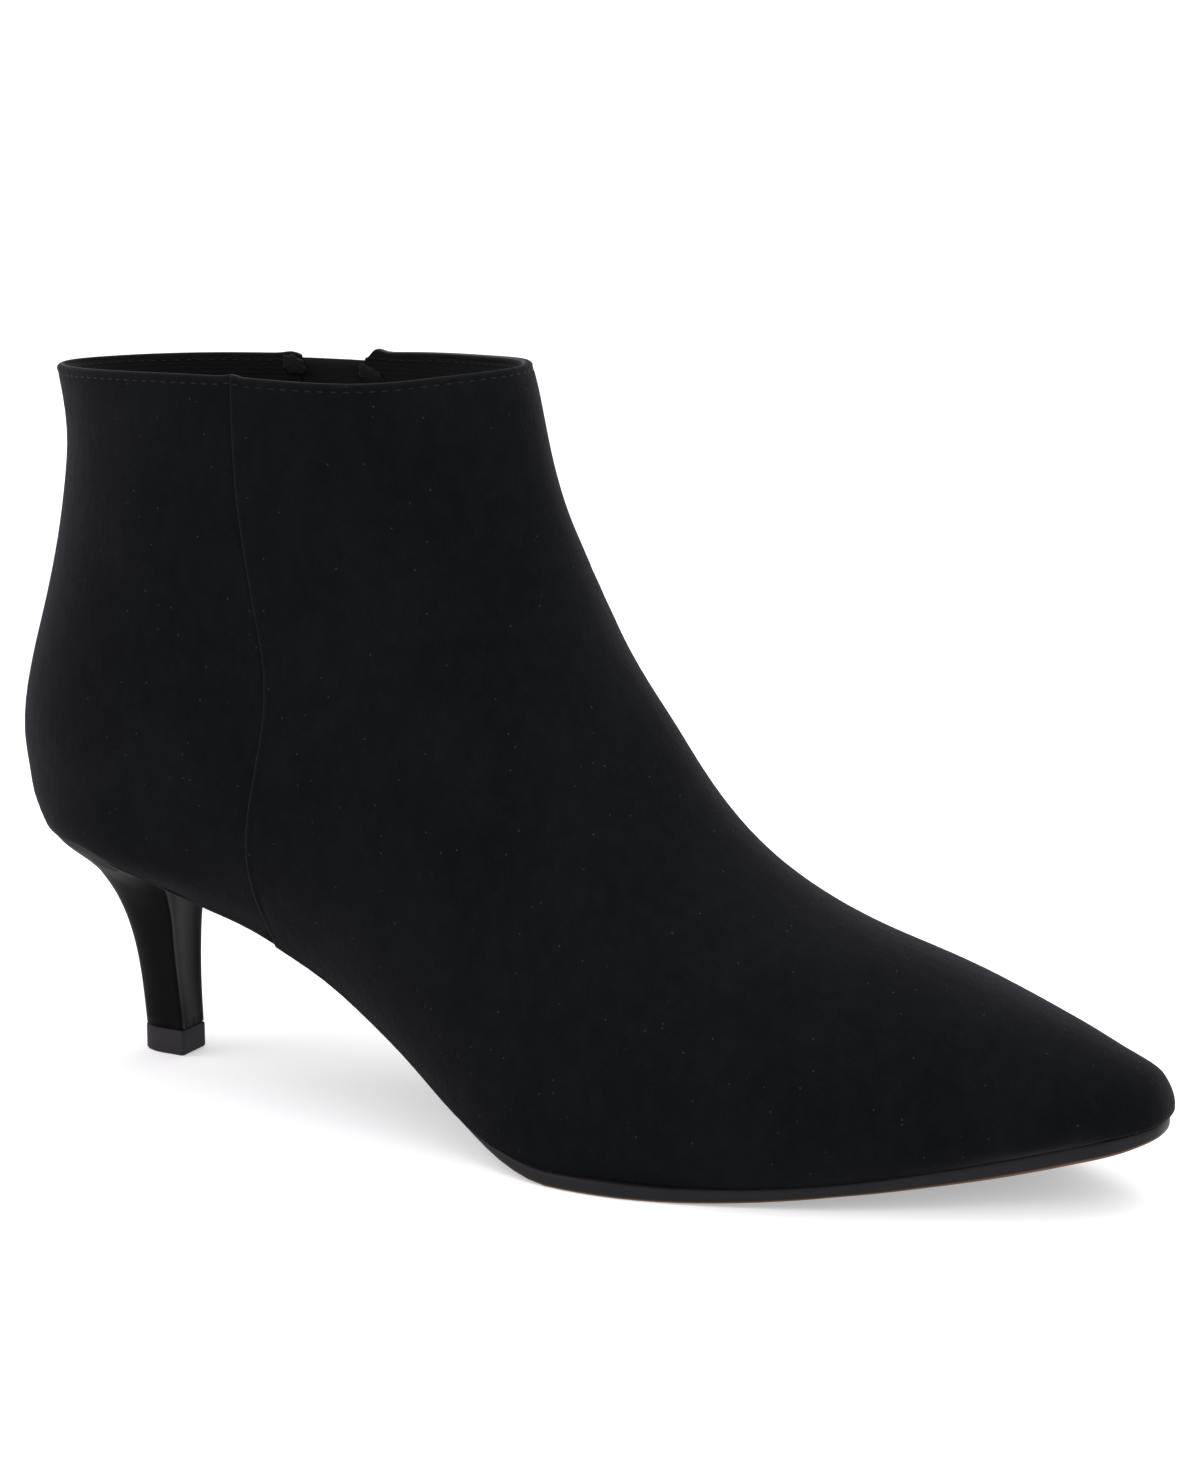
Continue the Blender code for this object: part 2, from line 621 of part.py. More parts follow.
def oblong(width, y_low, y_high, corner):
    """Rectangle centred on x with cut corners."""
    x = width / 2
    return [(-x + corner, y_low), (x - corner, y_low), (x, y_low + corner), (x, y_high - corner),
            (x - corner, y_high), (-x + corner, y_high), (-x, y_high - corner), (-x, y_low + corner)]


def place(piece, spot, turn):
    """Set a piece, modelled in the slider's frame, on the shoe."""
    piece.matrix_local = Matrix.Translation(spot * MM) @ turn


def make_slider(finish):
    """Zip slider with its bridge, and the pull tab whose pin sits under the bridge."""
    here, turn, out = wall_frame(SLIDER_Z)
    top = SLIDER_FOOT + SLIDER_THICK
    half = SLIDER_LENGTH / 2
    slider = plate("zip_slider", oblong(SLIDER_WIDTH, -half, half, SLIDER_CORNER), SLIDER_FOOT, top, finish)
    reach = BRIDGE_LENGTH / 2
    outline = oblong(BRIDGE_WIDTH, -reach, reach, SMALL_CORNER)
    bridge = plate("bridge_form", outline, top - BRIDGE_ROOT, top + BRIDGE_HEIGHT)
    inner = reach - BRIDGE_WALL
    outline = oblong(SLIDER_WIDTH, -inner, inner, SMALL_CORNER)
    tunnel = plate("bridge_cut", outline, top, top + BRIDGE_HEIGHT - BRIDGE_WALL)
    combine(bridge, tunnel, "DIFFERENCE")
    combine(slider, bridge, "UNION")
    pin = PULL_THICK / 2
    pull = plate("zip_pull", oblong(PULL_WIDTH, -PULL_LENGTH, pin, SMALL_CORNER), -pin, pin, finish)
    outline = oblong(PULL_WIDTH - 2 * PULL_ARM, -PULL_WINDOW, -pin, SMALL_CORNER)
    window = plate("pull_cut", outline, -PULL_THICK, PULL_THICK)
    combine(pull, window, "DIFFERENCE")
    for piece in (slider, bridge, tunnel):
        place(piece, here, turn)
    for piece in (pull, window):
        place(piece, here + out * PIN_HEIGHT, turn)


def centre_on_origin():
    """Move the whole shoe so that it stands on z = 0 with its box centred on the origin."""
    bpy.context.view_layer.update()
    graph = bpy.context.evaluated_depsgraph_get()
    corners = []
    for piece in root.children:
        if not piece.hide_render:
            shape = piece.evaluated_get(graph)
            corners += [shape.matrix_world @ vertex.co for vertex in shape.data.vertices]
    low = Vector([min(c[axis] for c in corners) for axis in range(3)])
    high = Vector([max(c[axis] for c in corners) for axis in range(3)])
    root.location = (-(low.x + high.x) / 2, -(low.y + high.y) / 2, -low.z)


for leftover in list(bpy.data.objects):
    bpy.data.objects.remove(leftover)
root = bpy.data.objects.new("bootie", None)
bpy.context.collection.objects.link(root)

make_upper(finish_of("black_suede", (0.010, 0.010, 0.012), 0.95))
make_outsole(finish_of("sole_rubber", (0.022, 0.022, 0.023), 0.55))
make_insole(finish_of("insole_sock", (0.030, 0.029, 0.030), 0.80))
make_heel(
    finish_of("heel_wrap", (0.014, 0.014, 0.016), 0.35),
    finish_of("top_piece_rubber", (0.040, 0.040, 0.042), 0.75),
)
make_zip(
    finish_of("zip_tape_cloth", (0.012, 0.012, 0.013), 0.90),
    finish_of("zip_coil", (0.020, 0.020, 0.021), 0.45),
)
make_slider(finish_of("zip_metal", (0.060, 0.060, 0.065), 0.35, 1.0))
centre_on_origin()
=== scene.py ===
"""Mid heel bootie, right shoe: its finished looks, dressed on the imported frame.

Sizes are in millimetres along the last, with x measured from near the back of the heel seat, and become
metres in the frame's place when a mesh is made.
"""
import json
import math

import bmesh
import bpy
import numpy as np
from mathutils import Matrix, Vector
from mathutils.bvhtree import BVHTree


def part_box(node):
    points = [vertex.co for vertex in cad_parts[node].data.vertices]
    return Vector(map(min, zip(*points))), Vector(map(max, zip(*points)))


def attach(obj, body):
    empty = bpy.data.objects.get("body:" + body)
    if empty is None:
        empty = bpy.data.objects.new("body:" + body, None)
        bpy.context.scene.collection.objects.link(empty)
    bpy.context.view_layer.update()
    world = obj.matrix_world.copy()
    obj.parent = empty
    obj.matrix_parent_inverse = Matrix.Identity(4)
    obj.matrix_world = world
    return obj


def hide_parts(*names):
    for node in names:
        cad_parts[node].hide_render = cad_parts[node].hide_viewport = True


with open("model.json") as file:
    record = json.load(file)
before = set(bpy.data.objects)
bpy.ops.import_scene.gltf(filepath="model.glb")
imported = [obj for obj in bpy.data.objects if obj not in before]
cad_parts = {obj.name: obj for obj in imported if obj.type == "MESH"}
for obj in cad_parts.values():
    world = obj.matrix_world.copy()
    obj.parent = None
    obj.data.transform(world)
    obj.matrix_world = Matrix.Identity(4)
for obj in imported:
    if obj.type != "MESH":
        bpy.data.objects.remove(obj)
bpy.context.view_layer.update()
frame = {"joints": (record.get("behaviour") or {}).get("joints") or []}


# Upper: a front and a back panel of black suede, lined, pulled over a pointed last and fixed under the
# insole's edge. The front one's folded edge is sewn over the back one down the outer side, and a zip parts
# the two on the inner side. The collar is turned in and stitched close to its edge.

def table(columns, *rows):
    """A short table as one array for each named column."""
    return dict(zip(columns.split(), np.array(rows, float).T))


def spline(knots, values):
    """Natural cubic through values at knots, as a function; the values may be points."""
    knots, values = np.asarray(knots, float), np.asarray(values, float)
    count, gaps = len(knots), np.diff(knots)
    matrix, right = np.eye(count), np.zeros_like(values)
    for i in range(1, count - 1):
        matrix[i, i - 1:i + 2] = gaps[i - 1], 2 * (gaps[i - 1] + gaps[i]), gaps[i]
        right[i] = 6 * ((values[i + 1] - values[i]) / gaps[i] - (values[i] - values[i - 1]) / gaps[i - 1])
    bend = np.linalg.solve(matrix, right.reshape(count, -1)).reshape(values.shape)

    def read(at):
        at = np.asarray(at, float)
        i = np.clip(np.searchsorted(knots, at) - 1, 0, count - 2)
        gap = gaps[i].reshape(at.shape + (1,) * (values.ndim - 1))
        t = ((at - knots[i]) / gaps[i]).reshape(gap.shape)
        s = 1 - t
        curve = gap ** 2 / 6 * ((s ** 3 - s) * bend[i] + (t ** 3 - t) * bend[i + 1])
        return s * values[i] + t * values[i + 1] + curve

    return read


MM = 0.001
LENGTH = 244.0               # x of the toe's tip
SEAT_CENTRE = 24.0           # round back of the heel seat
SEAT_RADIUS = 26.0
SEAT_BACK = SEAT_CENTRE - SEAT_RADIUS
SEAT_HEIGHT = 53.0
SHANK_X = 49.0               # where the seat runs out into the arch
SHANK_HEIGHT = 40.5
SHANK_SLOPE = -0.12
TREAD_BACK = 137.0           # flat spot of the forefoot
TREAD_FRONT = 156.0
TOE_SPRING = 14.5
SPRING_POWER = 1.8
TOE_ROUND = 2.2
SOLE_THICK = 3.0
WAIST_THICK = 2.2
THICKEN_FROM = 100.0
THICKEN_TO = 145.0
SEAT_RUN = LENGTH - SEAT_CENTRE + SEAT_RADIUS * math.pi / 2

# Half-widths of the sole's top edge on the outer and inner side of the foot
FEATHER = table(
    "x outer inner",
    (SEAT_CENTRE, 24.5, 24.0),
    (50, 23.0, 23.0),
    (78, 24.5, 20.5),
    (103, 30.0, 21.0),
    (125, 39.0, 26.5),
    (145, 41.0, 33.0),
    (166, 37.0, 36.0),
    (189, 30.0, 33.0),
    (211, 19.5, 24.0),
    (230, 10.0, 14.0),
)

# Back line of the counter and shaft
BACK = table(
    "up x",
    (0, SEAT_BACK),
    (4, -5.0),
    (11, -6.5),
    (24, -5.2),
    (45, 0.6),
    (62, 4.4),
    (76, 6.1),
    (86, 5.6),
    (94, 3.2),
)

# Slanted sections of the upper, from a base point on the sole or the back line to a front point
SECTIONS = table(
    "run front_x front_z outer inner level dome steps",
    (LENGTH - FEATHER["x"][-1], LENGTH, TOE_SPRING + SOLE_THICK, 10.0, 14.0, 0.00, TOE_ROUND, 1),
    (15.5, 243.0, 20.3, 11.5, 15.0, 0.10, 2.20, 2),
    (21.0, 237.5, 25.5, 16.0, 18.0, 0.20, 2.10, 2),
    (38.0, 220.5, 32.8, 24.5, 27.5, 0.25, 2.00, 3),
    (60.0, 199.7, 40.0, 35.0, 36.0, 0.27, 1.95, 3),
    (85.0, 178.0, 46.7, 41.0, 39.0, 0.28, 1.95, 3),
    (115.0, 157.5, 58.7, 41.0, 35.5, 0.30, 1.95, 3),
    (148.0, 141.0, 76.7, 37.5, 33.5, 0.38, 1.95, 3),
    (183.0, 127.7, 95.8, 35.0, 34.0, 0.45, 2.00, 4),
    (218.0, 119.0, 114.3, 34.5, 33.5, 0.48, 2.00, 8),
    (SEAT_RUN, 113.6, 128.0, 34.5, 34.0, 0.47, 2.00, 6),
    (SEAT_RUN + 26, 111.2, 137.0, 34.0, 33.5, 0.47, 2.00, 4),
    (SEAT_RUN + 58, 109.3, 144.0, 33.5, 33.0, 0.48, 2.00, 3),
    (SEAT_RUN + 92.5, 107.5, 148.8, 33.0, 32.0, 0.50, 2.00, 0),
)
HALF_POINTS = 20             # even points along half a section, read from samples of its two arcs
ARC_SAMPLES = 40
RUN_WEIGHT = 0.5             # how much a step along the sole counts in the spacing of the sections
FLARE_BACK = 0.85            # exponent with which the wall opens out over its foot at the back line,
FLARE_FOOT = 0.3             # what the seat's width adds to it, in full from this half-width on,
FLARE_FULL = 10.0
FLARE_ARCH = 0.6             # and what the arch adds between two places
FLARE_FROM = 15.0
FLARE_TO = 70.0
FAIR_PASSES = 8              # fairing of the sections round the seat's back: passes, rows and columns
FAIR_ROWS = 4.0
FAIR_COLUMNS = 6.0
RUN_SLACK = 0.1              # slack with which the row at the seat's back is found

feather_line = {-1: spline(FEATHER["x"], FEATHER["outer"]), 1: spline(FEATHER["x"], FEATHER["inner"])}
back_line = spline(BACK["up"], BACK["x"])


def ramp(value, start, end):
    """Straight up from 0 at start to 1 at end, and level beyond."""
    return np.clip((value - start) / (end - start), 0, 1)


def smooth(share):
    """A share from 0 to 1, eased at both ends."""
    return share ** 2 * (3 - 2 * share)


def sole_bottom(x):
    """Height of the sole's underside: seat, arch, flat tread and toe spring."""
    x = np.asarray(x, float)
    rise = SHANK_HEIGHT - WAIST_THICK
    seat_run = SHANK_X - SEAT_BACK
    seat_rest = SEAT_HEIGHT - WAIST_THICK - rise + SHANK_SLOPE * seat_run
    seat = rise - SHANK_SLOPE * (SHANK_X - x) + seat_rest * ramp(x, SHANK_X, SEAT_BACK) ** 2
    arch_run = TREAD_BACK - SHANK_X
    u = ramp(x, TREAD_BACK, SHANK_X)
    arch = rise * (3 * u ** 2 - 2 * u ** 3) - SHANK_SLOPE * arch_run * (u ** 3 - u ** 2)
    spring = TOE_SPRING * ramp(x, TREAD_FRONT, LENGTH) ** SPRING_POWER
    return np.where(x < SHANK_X, seat, np.where(x < TREAD_BACK, arch, spring))


def sole_thickness(x):
    """Thin under the arch, thicker from the joints of the foot forward."""
    return WAIST_THICK + (SOLE_THICK - WAIST_THICK) * smooth(ramp(x, THICKEN_FROM, THICKEN_TO))


def sole_top(x):
    return sole_bottom(x) + sole_thickness(x)


def feather(x, side):
    """Half-width of the sole's top edge on one side, closed at the seat's back and the toe's tip."""
    x = np.asarray(x, float)
    last = FEATHER["x"][-1]
    width = feather_line[side](np.clip(x, SEAT_CENTRE, last))
    seat = np.sqrt(1 - ramp(x, SEAT_CENTRE, SEAT_BACK) ** 2)
    toe = (1 - ramp(x, last, LENGTH) ** TOE_ROUND) ** (1 / TOE_ROUND)
    return width * seat * toe


def lengths_along(points):
    """Arc length from a line's start to each of its points, for one line or a row of lines."""
    gaps = np.linalg.norm(np.diff(points, axis=-2), axis=-1)
    return np.concatenate([np.zeros(gaps.shape[:-1] + (1,)), np.cumsum(gaps, -1)], -1)


def read_along(places, lengths, points):
    """Values of a line's points at arc lengths along it."""
    return np.stack([np.interp(places, lengths, values) for values in points.T], 1)


def section_points(row):
    """Points of one section, from its base over the outer side to the front and down the inner side."""
    run, front_x, front_z, outer, inner, level, dome = row
    on_sole = run <= SEAT_RUN
    turn_back = (run - (LENGTH - SEAT_CENTRE)) / SEAT_RADIUS
    if on_sole:
        base_x = LENGTH - run if turn_back < 0 else SEAT_CENTRE - SEAT_RADIUS * math.sin(turn_back)
        base_z = float(sole_top(base_x))
    else:
        base_x, base_z = float(back_line(run - SEAT_RUN)), SEAT_HEIGHT + run - SEAT_RUN
    turn = np.linspace(0, math.pi / 2, ARC_SAMPLES)
    arch = ramp(base_x, FLARE_FROM, FLARE_TO)
    shaft = ramp(run, SEAT_RUN, SECTIONS["run"][-1])
    halves = []
    for side, half_width in ((-1, outer), (1, inner)):
        foot = float(feather(base_x, side)) if on_sole else 0.0
        half_width = max(half_width, foot)
        flare = FLARE_BACK + FLARE_FOOT * ramp(foot, 0, FLARE_FULL)
        flare += FLARE_ARCH * arch + (1 - FLARE_BACK) * shaft
        low_y = foot + (half_width - foot) * np.sin(turn) ** flare
        top_y = half_width * np.maximum(np.cos(turn), 0) ** (2 / dome)
        top_share = level + (1 - level) * np.sin(turn) ** (2 / dome)
        share = np.concatenate([level * (1 - np.cos(turn)), top_share[1:]])
        y = side * np.concatenate([low_y, top_y[1:]])
        x, z = base_x + (front_x - base_x) * share, base_z + (front_z - base_z) * share
        points = np.stack([x, y, z], 1)
        lengths = lengths_along(points)
        halves.append(read_along(np.linspace(0, lengths[-1], HALF_POINTS + 1), lengths, points))
    return np.concatenate([halves[0], halves[1][-2::-1]])


def bell(distance, width):
    """1 in the middle, falling off softly on either side over about a width."""
    return np.exp(-(distance / width) ** 2)


def fair(grid, seat_row, passes, rows, columns, spare=0):
    """Even out a grid's rows near the seat's back, but not at its edges, inside its spare columns."""
    near_row = bell(np.arange(len(grid)) - seat_row, rows)[1:-1]
    column = np.arange(grid.shape[1]) - spare
    from_edge = ramp(np.minimum(column, column[::-1]), 0, columns)
    weight = np.outer(near_row, from_edge)[..., None] / 2
    for _ in range(passes):
        grid[1:-1] += weight * ((grid[:-2] + grid[2:]) / 2 - grid[1:-1])


def coarse_wall():
    """The outside of the upper, a row of points for each section, and the row at the seat's back."""
    columns = [values for name, values in SECTIONS.items() if name != "steps"]
    front_gap = np.hypot(np.diff(SECTIONS["front_x"]), np.diff(SECTIONS["front_z"]))
    knots = np.concatenate([[0], np.cumsum(front_gap + RUN_WEIGHT * np.diff(SECTIONS["run"]))])
    places = [0.0]
    for start, end, steps in zip(knots[:-1], knots[1:], SECTIONS["steps"]):
        places.extend(np.linspace(start, end, int(steps) + 1)[1:])
    rows = np.stack([spline(knots, column)(places) for column in columns], 1)
    grid = np.stack([section_points(row) for row in rows])
    seat_row = int(np.argmax(rows[:, 0] > SEAT_RUN - RUN_SLACK))
    fair(grid, seat_row, FAIR_PASSES, FAIR_ROWS, FAIR_COLUMNS)
    return grid, seat_row


ROW_SPLIT = 3                # fine rows and columns for each coarse one
COLUMN_SPLIT = 8
WRAP = 3                     # columns carried round the back so that the wall closes smoothly
SMOOTH_PASSES = 60           # fairing of the counter just over the seat: passes, rows and columns
SMOOTH_ROWS = 9.0
SMOOTH_COLUMNS = 6.0
BACK_EASED = 7.0             # columns on either side of the back line that are eased across it
BACK_SETTLE = 5.0            # rows over which the lower edge there keeps its height
TOE_TUCK = 1.0               # how far the toe's tip turns in under itself, over which length and height
TOE_TUCK_RUN = 8.0
TOE_TUCK_RISE = 2.5
TOE_DROP = 1.0               # and how far its edge reaches down over the sole
TOE_FULL = 0.8               # swelling of the toe's nose: height, its way forward and up, middle and reach
TOE_WAY = (0.6, 0.8)
TOE_NOSE = (238.0, 24.5)
TOE_REACH = 6.0
COUNTER_FULL = 1.0           # how far the counter swells just over the seat, its height and its reach,
COUNTER_HEIGHT = 56.2
COUNTER_REACH = 5.2
COUNTER_FRONT = 40.0         # and where and over which length that ends towards the waist
COUNTER_FADE = 12.0


def ease_back_line(rows):
    """Even out the rows that close round the back across their seam, and carry its columns round again."""
    closed = rows[:, 1:-2]
    row, column = (np.arange(count) for count in closed.shape[:2])
    from_back = np.minimum(column, column[::-1] + 1)
    weight = np.outer(bell(row, SMOOTH_ROWS), bell(from_back, BACK_EASED))[..., None] / 2
    level = ramp(row, 0, BACK_SETTLE)[:, None]
    for _ in range(SMOOTH_PASSES):
        move = weight * ((np.roll(closed, 1, 1) + np.roll(closed, -1, 1)) / 2 - closed)
        move[..., 2] *= level
        closed += move
    rows[:, 0] = closed[:, -1]
    rows[:, -2:] = closed[:, :2]


def unit(vectors):
    """Vectors brought to length 1."""
    return vectors / np.linalg.norm(vectors, axis=-1, keepdims=True)


def fine_wall():
    """The wall on a fine grid: points, outward normals and the rows that close round the back."""
    grid, seat_row = coarse_wall()
    rows, columns = grid.shape[:2]
    before = 2 * grid[:, :1] - grid[:, WRAP:0:-1]
    after = 2 * grid[:, -1:] - grid[:, -2:-2 - WRAP:-1]
    before[seat_row:] = grid[seat_row:, -1 - WRAP:-1]
    after[seat_row:] = grid[seat_row:, 1:1 + WRAP]
    wide = np.concatenate([before, grid, after], 1).transpose(1, 0, 2)
    at_columns = np.arange(-1, (columns - 1) * COLUMN_SPLIT + 2) / COLUMN_SPLIT
    wide = spline(np.arange(-WRAP, columns + WRAP), wide)(at_columns).transpose(1, 0, 2)
    wide = spline(np.arange(rows), wide)(np.linspace(0, rows - 1, (rows - 1) * ROW_SPLIT + 1))
    seat_row *= ROW_SPLIT
    fair(wide, seat_row, SMOOTH_PASSES, SMOOTH_ROWS, SMOOTH_COLUMNS, spare=1)
    ease_back_line(wide[seat_row:])
    toe = ramp(wide[..., 0], LENGTH - TOE_TUCK_RUN, LENGTH) ** 2
    rise = np.clip(wide[..., 2] - sole_top(wide[..., 0]), 0, None)
    turned = toe * np.exp(-rise / TOE_TUCK_RISE)
    from_nose = np.hypot(wide[..., 0] - TOE_NOSE[0], wide[..., 2] - TOE_NOSE[1])
    swell = TOE_FULL * bell(from_nose, TOE_REACH)
    wide[..., 0] += TOE_WAY[0] * swell - TOE_TUCK * turned
    wide[..., 2] += TOE_WAY[1] * swell - TOE_DROP * turned
    points = wide[:, 1:-1]
    normal = np.cross(np.gradient(wide, axis=1)[:, 1:-1], np.gradient(points, axis=0))
    normal[seat_row:, 0] += normal[seat_row:, -1]
    normal[seat_row:, -1] = normal[seat_row:, 0]
    normal = unit(normal)
    full = ramp(points[..., 0], COUNTER_FRONT, COUNTER_FRONT - COUNTER_FADE)
    full = full * bell(points[..., 2] - COUNTER_HEIGHT, COUNTER_REACH)
    points = points + normal * COUNTER_FULL * full[..., None]
    return points, normal, np.arange(len(points)) >= seat_row


WALL_POINTS, WALL_NORMAL, RING = fine_wall()
WALL_ARC = lengths_along(WALL_POINTS)
MIDDLE = WALL_POINTS.shape[1] // 2

# Lines of the outer seam and of the zip's middle
SEAM = table(
    "z x",
    (20, 68), (40, 63), (54, 63), (72, 67),
    (88, 69.5), (103, 67), (124, 63.5), (160, 62.5),
)
ZIP = table("z x", (20, 64), (60, 58), (90, 53), (120, 49), (160, 48))
ZIP_END = 60.0               # lowest point of the zip's slot
SLOT_HALF = 7.5              # half of the slot's width
BACK_FACE = -0.3             # outer faces of the panels against the sections, and their inner face
FRONT_FACE = 0.3
INNER_FACE = -2.2
LAP = 1.6                    # how far the back panel runs on under the front one
FOOT_LIFT = 0.15             # shadow gap over the sole
SKIRT = 7.0                  # how far up the wall is drawn down with its lower edge

# Lower edge of the suede over the sole's top: up over the heel's cup, and down round the edge of the waist
JOINT = table(
    "x lift",
    (SEAT_BACK, 0.0), (1, 0.6), (5, 1.0), (10, 1.6), (13, 2.3), (16, 3.3), (20, 4.1), (24, 3.7), (28, 2.7),
    (32, 1.7), (38, 0.4), (44, -0.8), (50, -1.8), (58, -2.3), (66, -2.4), (74, -1.9), (85, -1.4),
    (96, -1.2), (108, -1.4), (120, -0.7), (132, 0.0), (150, 0.0), (200, 0.0), (LENGTH, 0.0),
)
joint_lift = spline(JOINT["x"], JOINT["lift"])


def joint_height(x):
    """Height of the suede's lower edge."""
    return sole_top(x) + joint_lift(np.clip(x, SEAT_BACK, LENGTH))


seam_line = spline(SEAM["z"], SEAM["x"])
zip_line = spline(ZIP["z"], ZIP["x"])


def slot_half(z):
    """Half-width of the zip's slot at a height; its lower end is round."""
    drop = np.clip(ZIP_END + SLOT_HALF - np.asarray(z, float), 0, SLOT_HALF)
    return np.sqrt(SLOT_HALF ** 2 - drop ** 2)


def crossing(ahead, columns):
    """On each row, where a line is crossed going forward along the columns, as arc length, or NaN."""
    places = np.full(len(RING), np.nan)
    for i, values in enumerate(ahead[:, columns]):
        if values[0] < 0 < values.max():
            k = int(np.argmax(values > 0))
            share = values[k - 1] / (values[k - 1] - values[k])
            arc = WALL_ARC[i, columns]
            places[i] = arc[k - 1] + share * (arc[k] - arc[k - 1])
    return places


def wall_at(row, places):
    """Points and normals of a fine row at arc lengths along it."""
    points, normal = (read_along(places, WALL_ARC[row], grid[row]) for grid in (WALL_POINTS, WALL_NORMAL))
    return points, unit(normal)


SLANT_STEP = 0.5             # length over which a row's direction is read, and the least sine allowed
SLANT_LEAST = 0.35


def slant(places):
    """How much longer a distance square to an edge is along each row, which meets the edge aslant."""
    stretch = np.ones(len(RING))
    known = np.flatnonzero(~np.isnan(places))
    if len(known) < 2:
        return stretch
    spots = np.array([wall_at(i, places[i:i + 1])[0][0] for i in known])
    ahead = np.array([wall_at(i, places[i:i + 1] + SLANT_STEP)[0][0] for i in known]) - spots
    edge = np.gradient(spots, axis=0)
    sine = np.linalg.norm(np.cross(unit(ahead), unit(edge)), axis=1)
    stretch[known] = 1 / np.clip(sine, SLANT_LEAST, 1)
    return stretch


OUTER_HALF = np.arange(MIDDLE)
INNER_HALF = np.arange(WALL_POINTS.shape[1] - 1, MIDDLE, -1)
wall_x, wall_z = WALL_POINTS[..., 0], WALL_POINTS[..., 2]
seam_z = np.clip(wall_z, SEAM["z"][0], SEAM["z"][-1])
outer_seam = crossing(wall_x - seam_line(seam_z), OUTER_HALF)
front_zip_edge = crossing(wall_x - zip_line(seam_z) - slot_half(wall_z), INNER_HALF)
back_zip_edge = crossing(wall_x - zip_line(seam_z) + slot_half(wall_z), INNER_HALF)
FOOT = []                    # where each row's outer face starts and ends, as arc length
for columns, plain in ((OUTER_HALF, WALL_ARC[:, 0]), (INNER_HALF, WALL_ARC[:, -1])):
    cut = crossing(wall_z - joint_height(wall_x), columns)
    FOOT.append(np.where(np.isnan(cut) | RING, plain, cut))

# Profile across a folded panel edge: rolled over, a soft bead, and the groove that its stitches pull in
ROLL = 0.7                   # width and depth of the rolled edge
ROLL_DEPTH = 1.3
BEAD = 0.22                  # height, distance from the edge and width
BEAD_AT = 1.0
BEAD_WIDTH = 0.55
GROOVE = 0.20
SEAM_GROOVE = 0.05           # beside the outer seam, which has no row of stitches
SEAM_WEAR_AND_HIGHLIGHT = 0.72             # how far the outer seam's folded edge is painted paler: nap wear and a painted highlight
GROOVE_AT = 2.0
GROOVE_WIDTH = 0.45
EDGE_STEPS = np.array([0, 0.04, 0.14, 0.3, 0.5, 0.75, 1.05, 1.4, 1.7, 2.0, 2.3, 2.7, 3.4])
EDGE_SHARE = 0.4             # most of a row that the steps at one edge may take


def folded_edge(distance, depth):
    """Height of a panel over its plain face at a distance from its folded edge; depth is its groove's."""
    roll = ramp(distance, ROLL, 0)
    bead = BEAD * bell(distance - BEAD_AT, BEAD_WIDTH)
    groove = depth * bell(distance - GROOVE_AT, GROOVE_WIDTH)
    return bead - groove - ROLL_DEPTH * (1 - np.sqrt(1 - roll ** 2))


# Soft forms of the worn-in suede: hollows and swellings on the outer (-1) and inner (1) side
CREASES = table(
    "side x z turn length width depth",
    (-1, 40, 113, -38, 16, 5.0, 0.25),
    (-1, 36, 104, -40, 18, 5.0, -0.22),
    (-1, 96, 92, 50, 20, 8.0, -0.40),
    (-1, 108, 78, 44, 22, 8.0, 0.35),
    (-1, 30, 68, -15, 16, 6.0, 0.22),
    (1, 92, 98, 52, 20, 8.0, -0.50),
    (1, 104, 84, 46, 20, 7.0, 0.40),
    (1, 34, 96, -30, 18, 7.0, -0.25),
    (1, 137, 82, -50, 13, 10.0, 0.60),
)
CREASE_SIDE = 3.0            # how softly a form ends at the middle of the shoe
UNEVEN = 0.06                # faint waves all over: height, and lengths along x, z and y
UNEVEN_WAVES = (7.1, 6.3, 11.0)
UNEVEN_BEND = 0.9            # how far the waves along x are bent, over which length up the shoe
UNEVEN_BEND_WAVE = 9.0


def softness(points):
    """How far the suede swells or sinks at points of the wall, with a faint overall unevenness."""
    x, y, z = points.T
    wave_x, wave_z, wave_y = UNEVEN_WAVES
    bent = UNEVEN_BEND * np.sin(z / UNEVEN_BEND_WAVE)
    total = UNEVEN * np.sin(x / wave_x + bent) * np.sin(z / wave_z + y / wave_y)
    for side, at_x, at_z, turn, length, width, depth in zip(*CREASES.values()):
        c, s = math.cos(math.radians(turn)), math.sin(math.radians(turn))
        u, v = (x - at_x) * c + (z - at_z) * s, (z - at_z) * c - (x - at_x) * s
        on_side = 1 / (1 + np.exp(-side * y / CREASE_SIDE))
        total = total + depth * on_side * bell(u, length) * bell(v, width)
    return total


# How the collar's edge rises and dips along each side, its small lift over the seam, and its corners at the
# zip, the back panel's at its start and the front panel's at its end, which drop beside a small rise
COLLAR = table(
    "x outer inner",
    (0, 0.5, 0.0), (22, 1.3, -0.2), (48, 1.7, -0.5), (64, 1.3, 0.0), (78, 0.3, 0.3), (92, 0.0, 0.6),
    (104, 0.9, 1.1), (112, 1.1, 1.1),
)
COLLAR_SIDE = 5.0            # how softly one side's rise passes into the other's
COLLAR_REACH = 14.0
CORNER_DROP = {"start": 0.5, "end": 1.2}
CORNER_REACH = 1.5
EAR_RISE = {"start": 0.5, "end": 0.8}
EAR_AT = 2.4
EAR_WIDTH = 2.0
COLLAR_ROUND = 0.9
COLLAR_BEAD = 0.08
COLLAR_WEAR_AND_HIGHLIGHT = 0.3            # how far the collar's edge is painted paler round it and on its crest: nap wear and a painted highlight
COLLAR_CREST_WEAR_AND_HIGHLIGHT = 0.95
COLLAR_STITCH = 1.65
COLLAR_GROOVE = 0.13
COLLAR_STEPS = 8
COLLAR_BAND = 30             # rows near the collar, the last of them at these drops below its edge
COLLAR_DROPS = np.array([3.3, 2.75, 2.35, 2.0, 1.65, 1.25, COLLAR_ROUND])
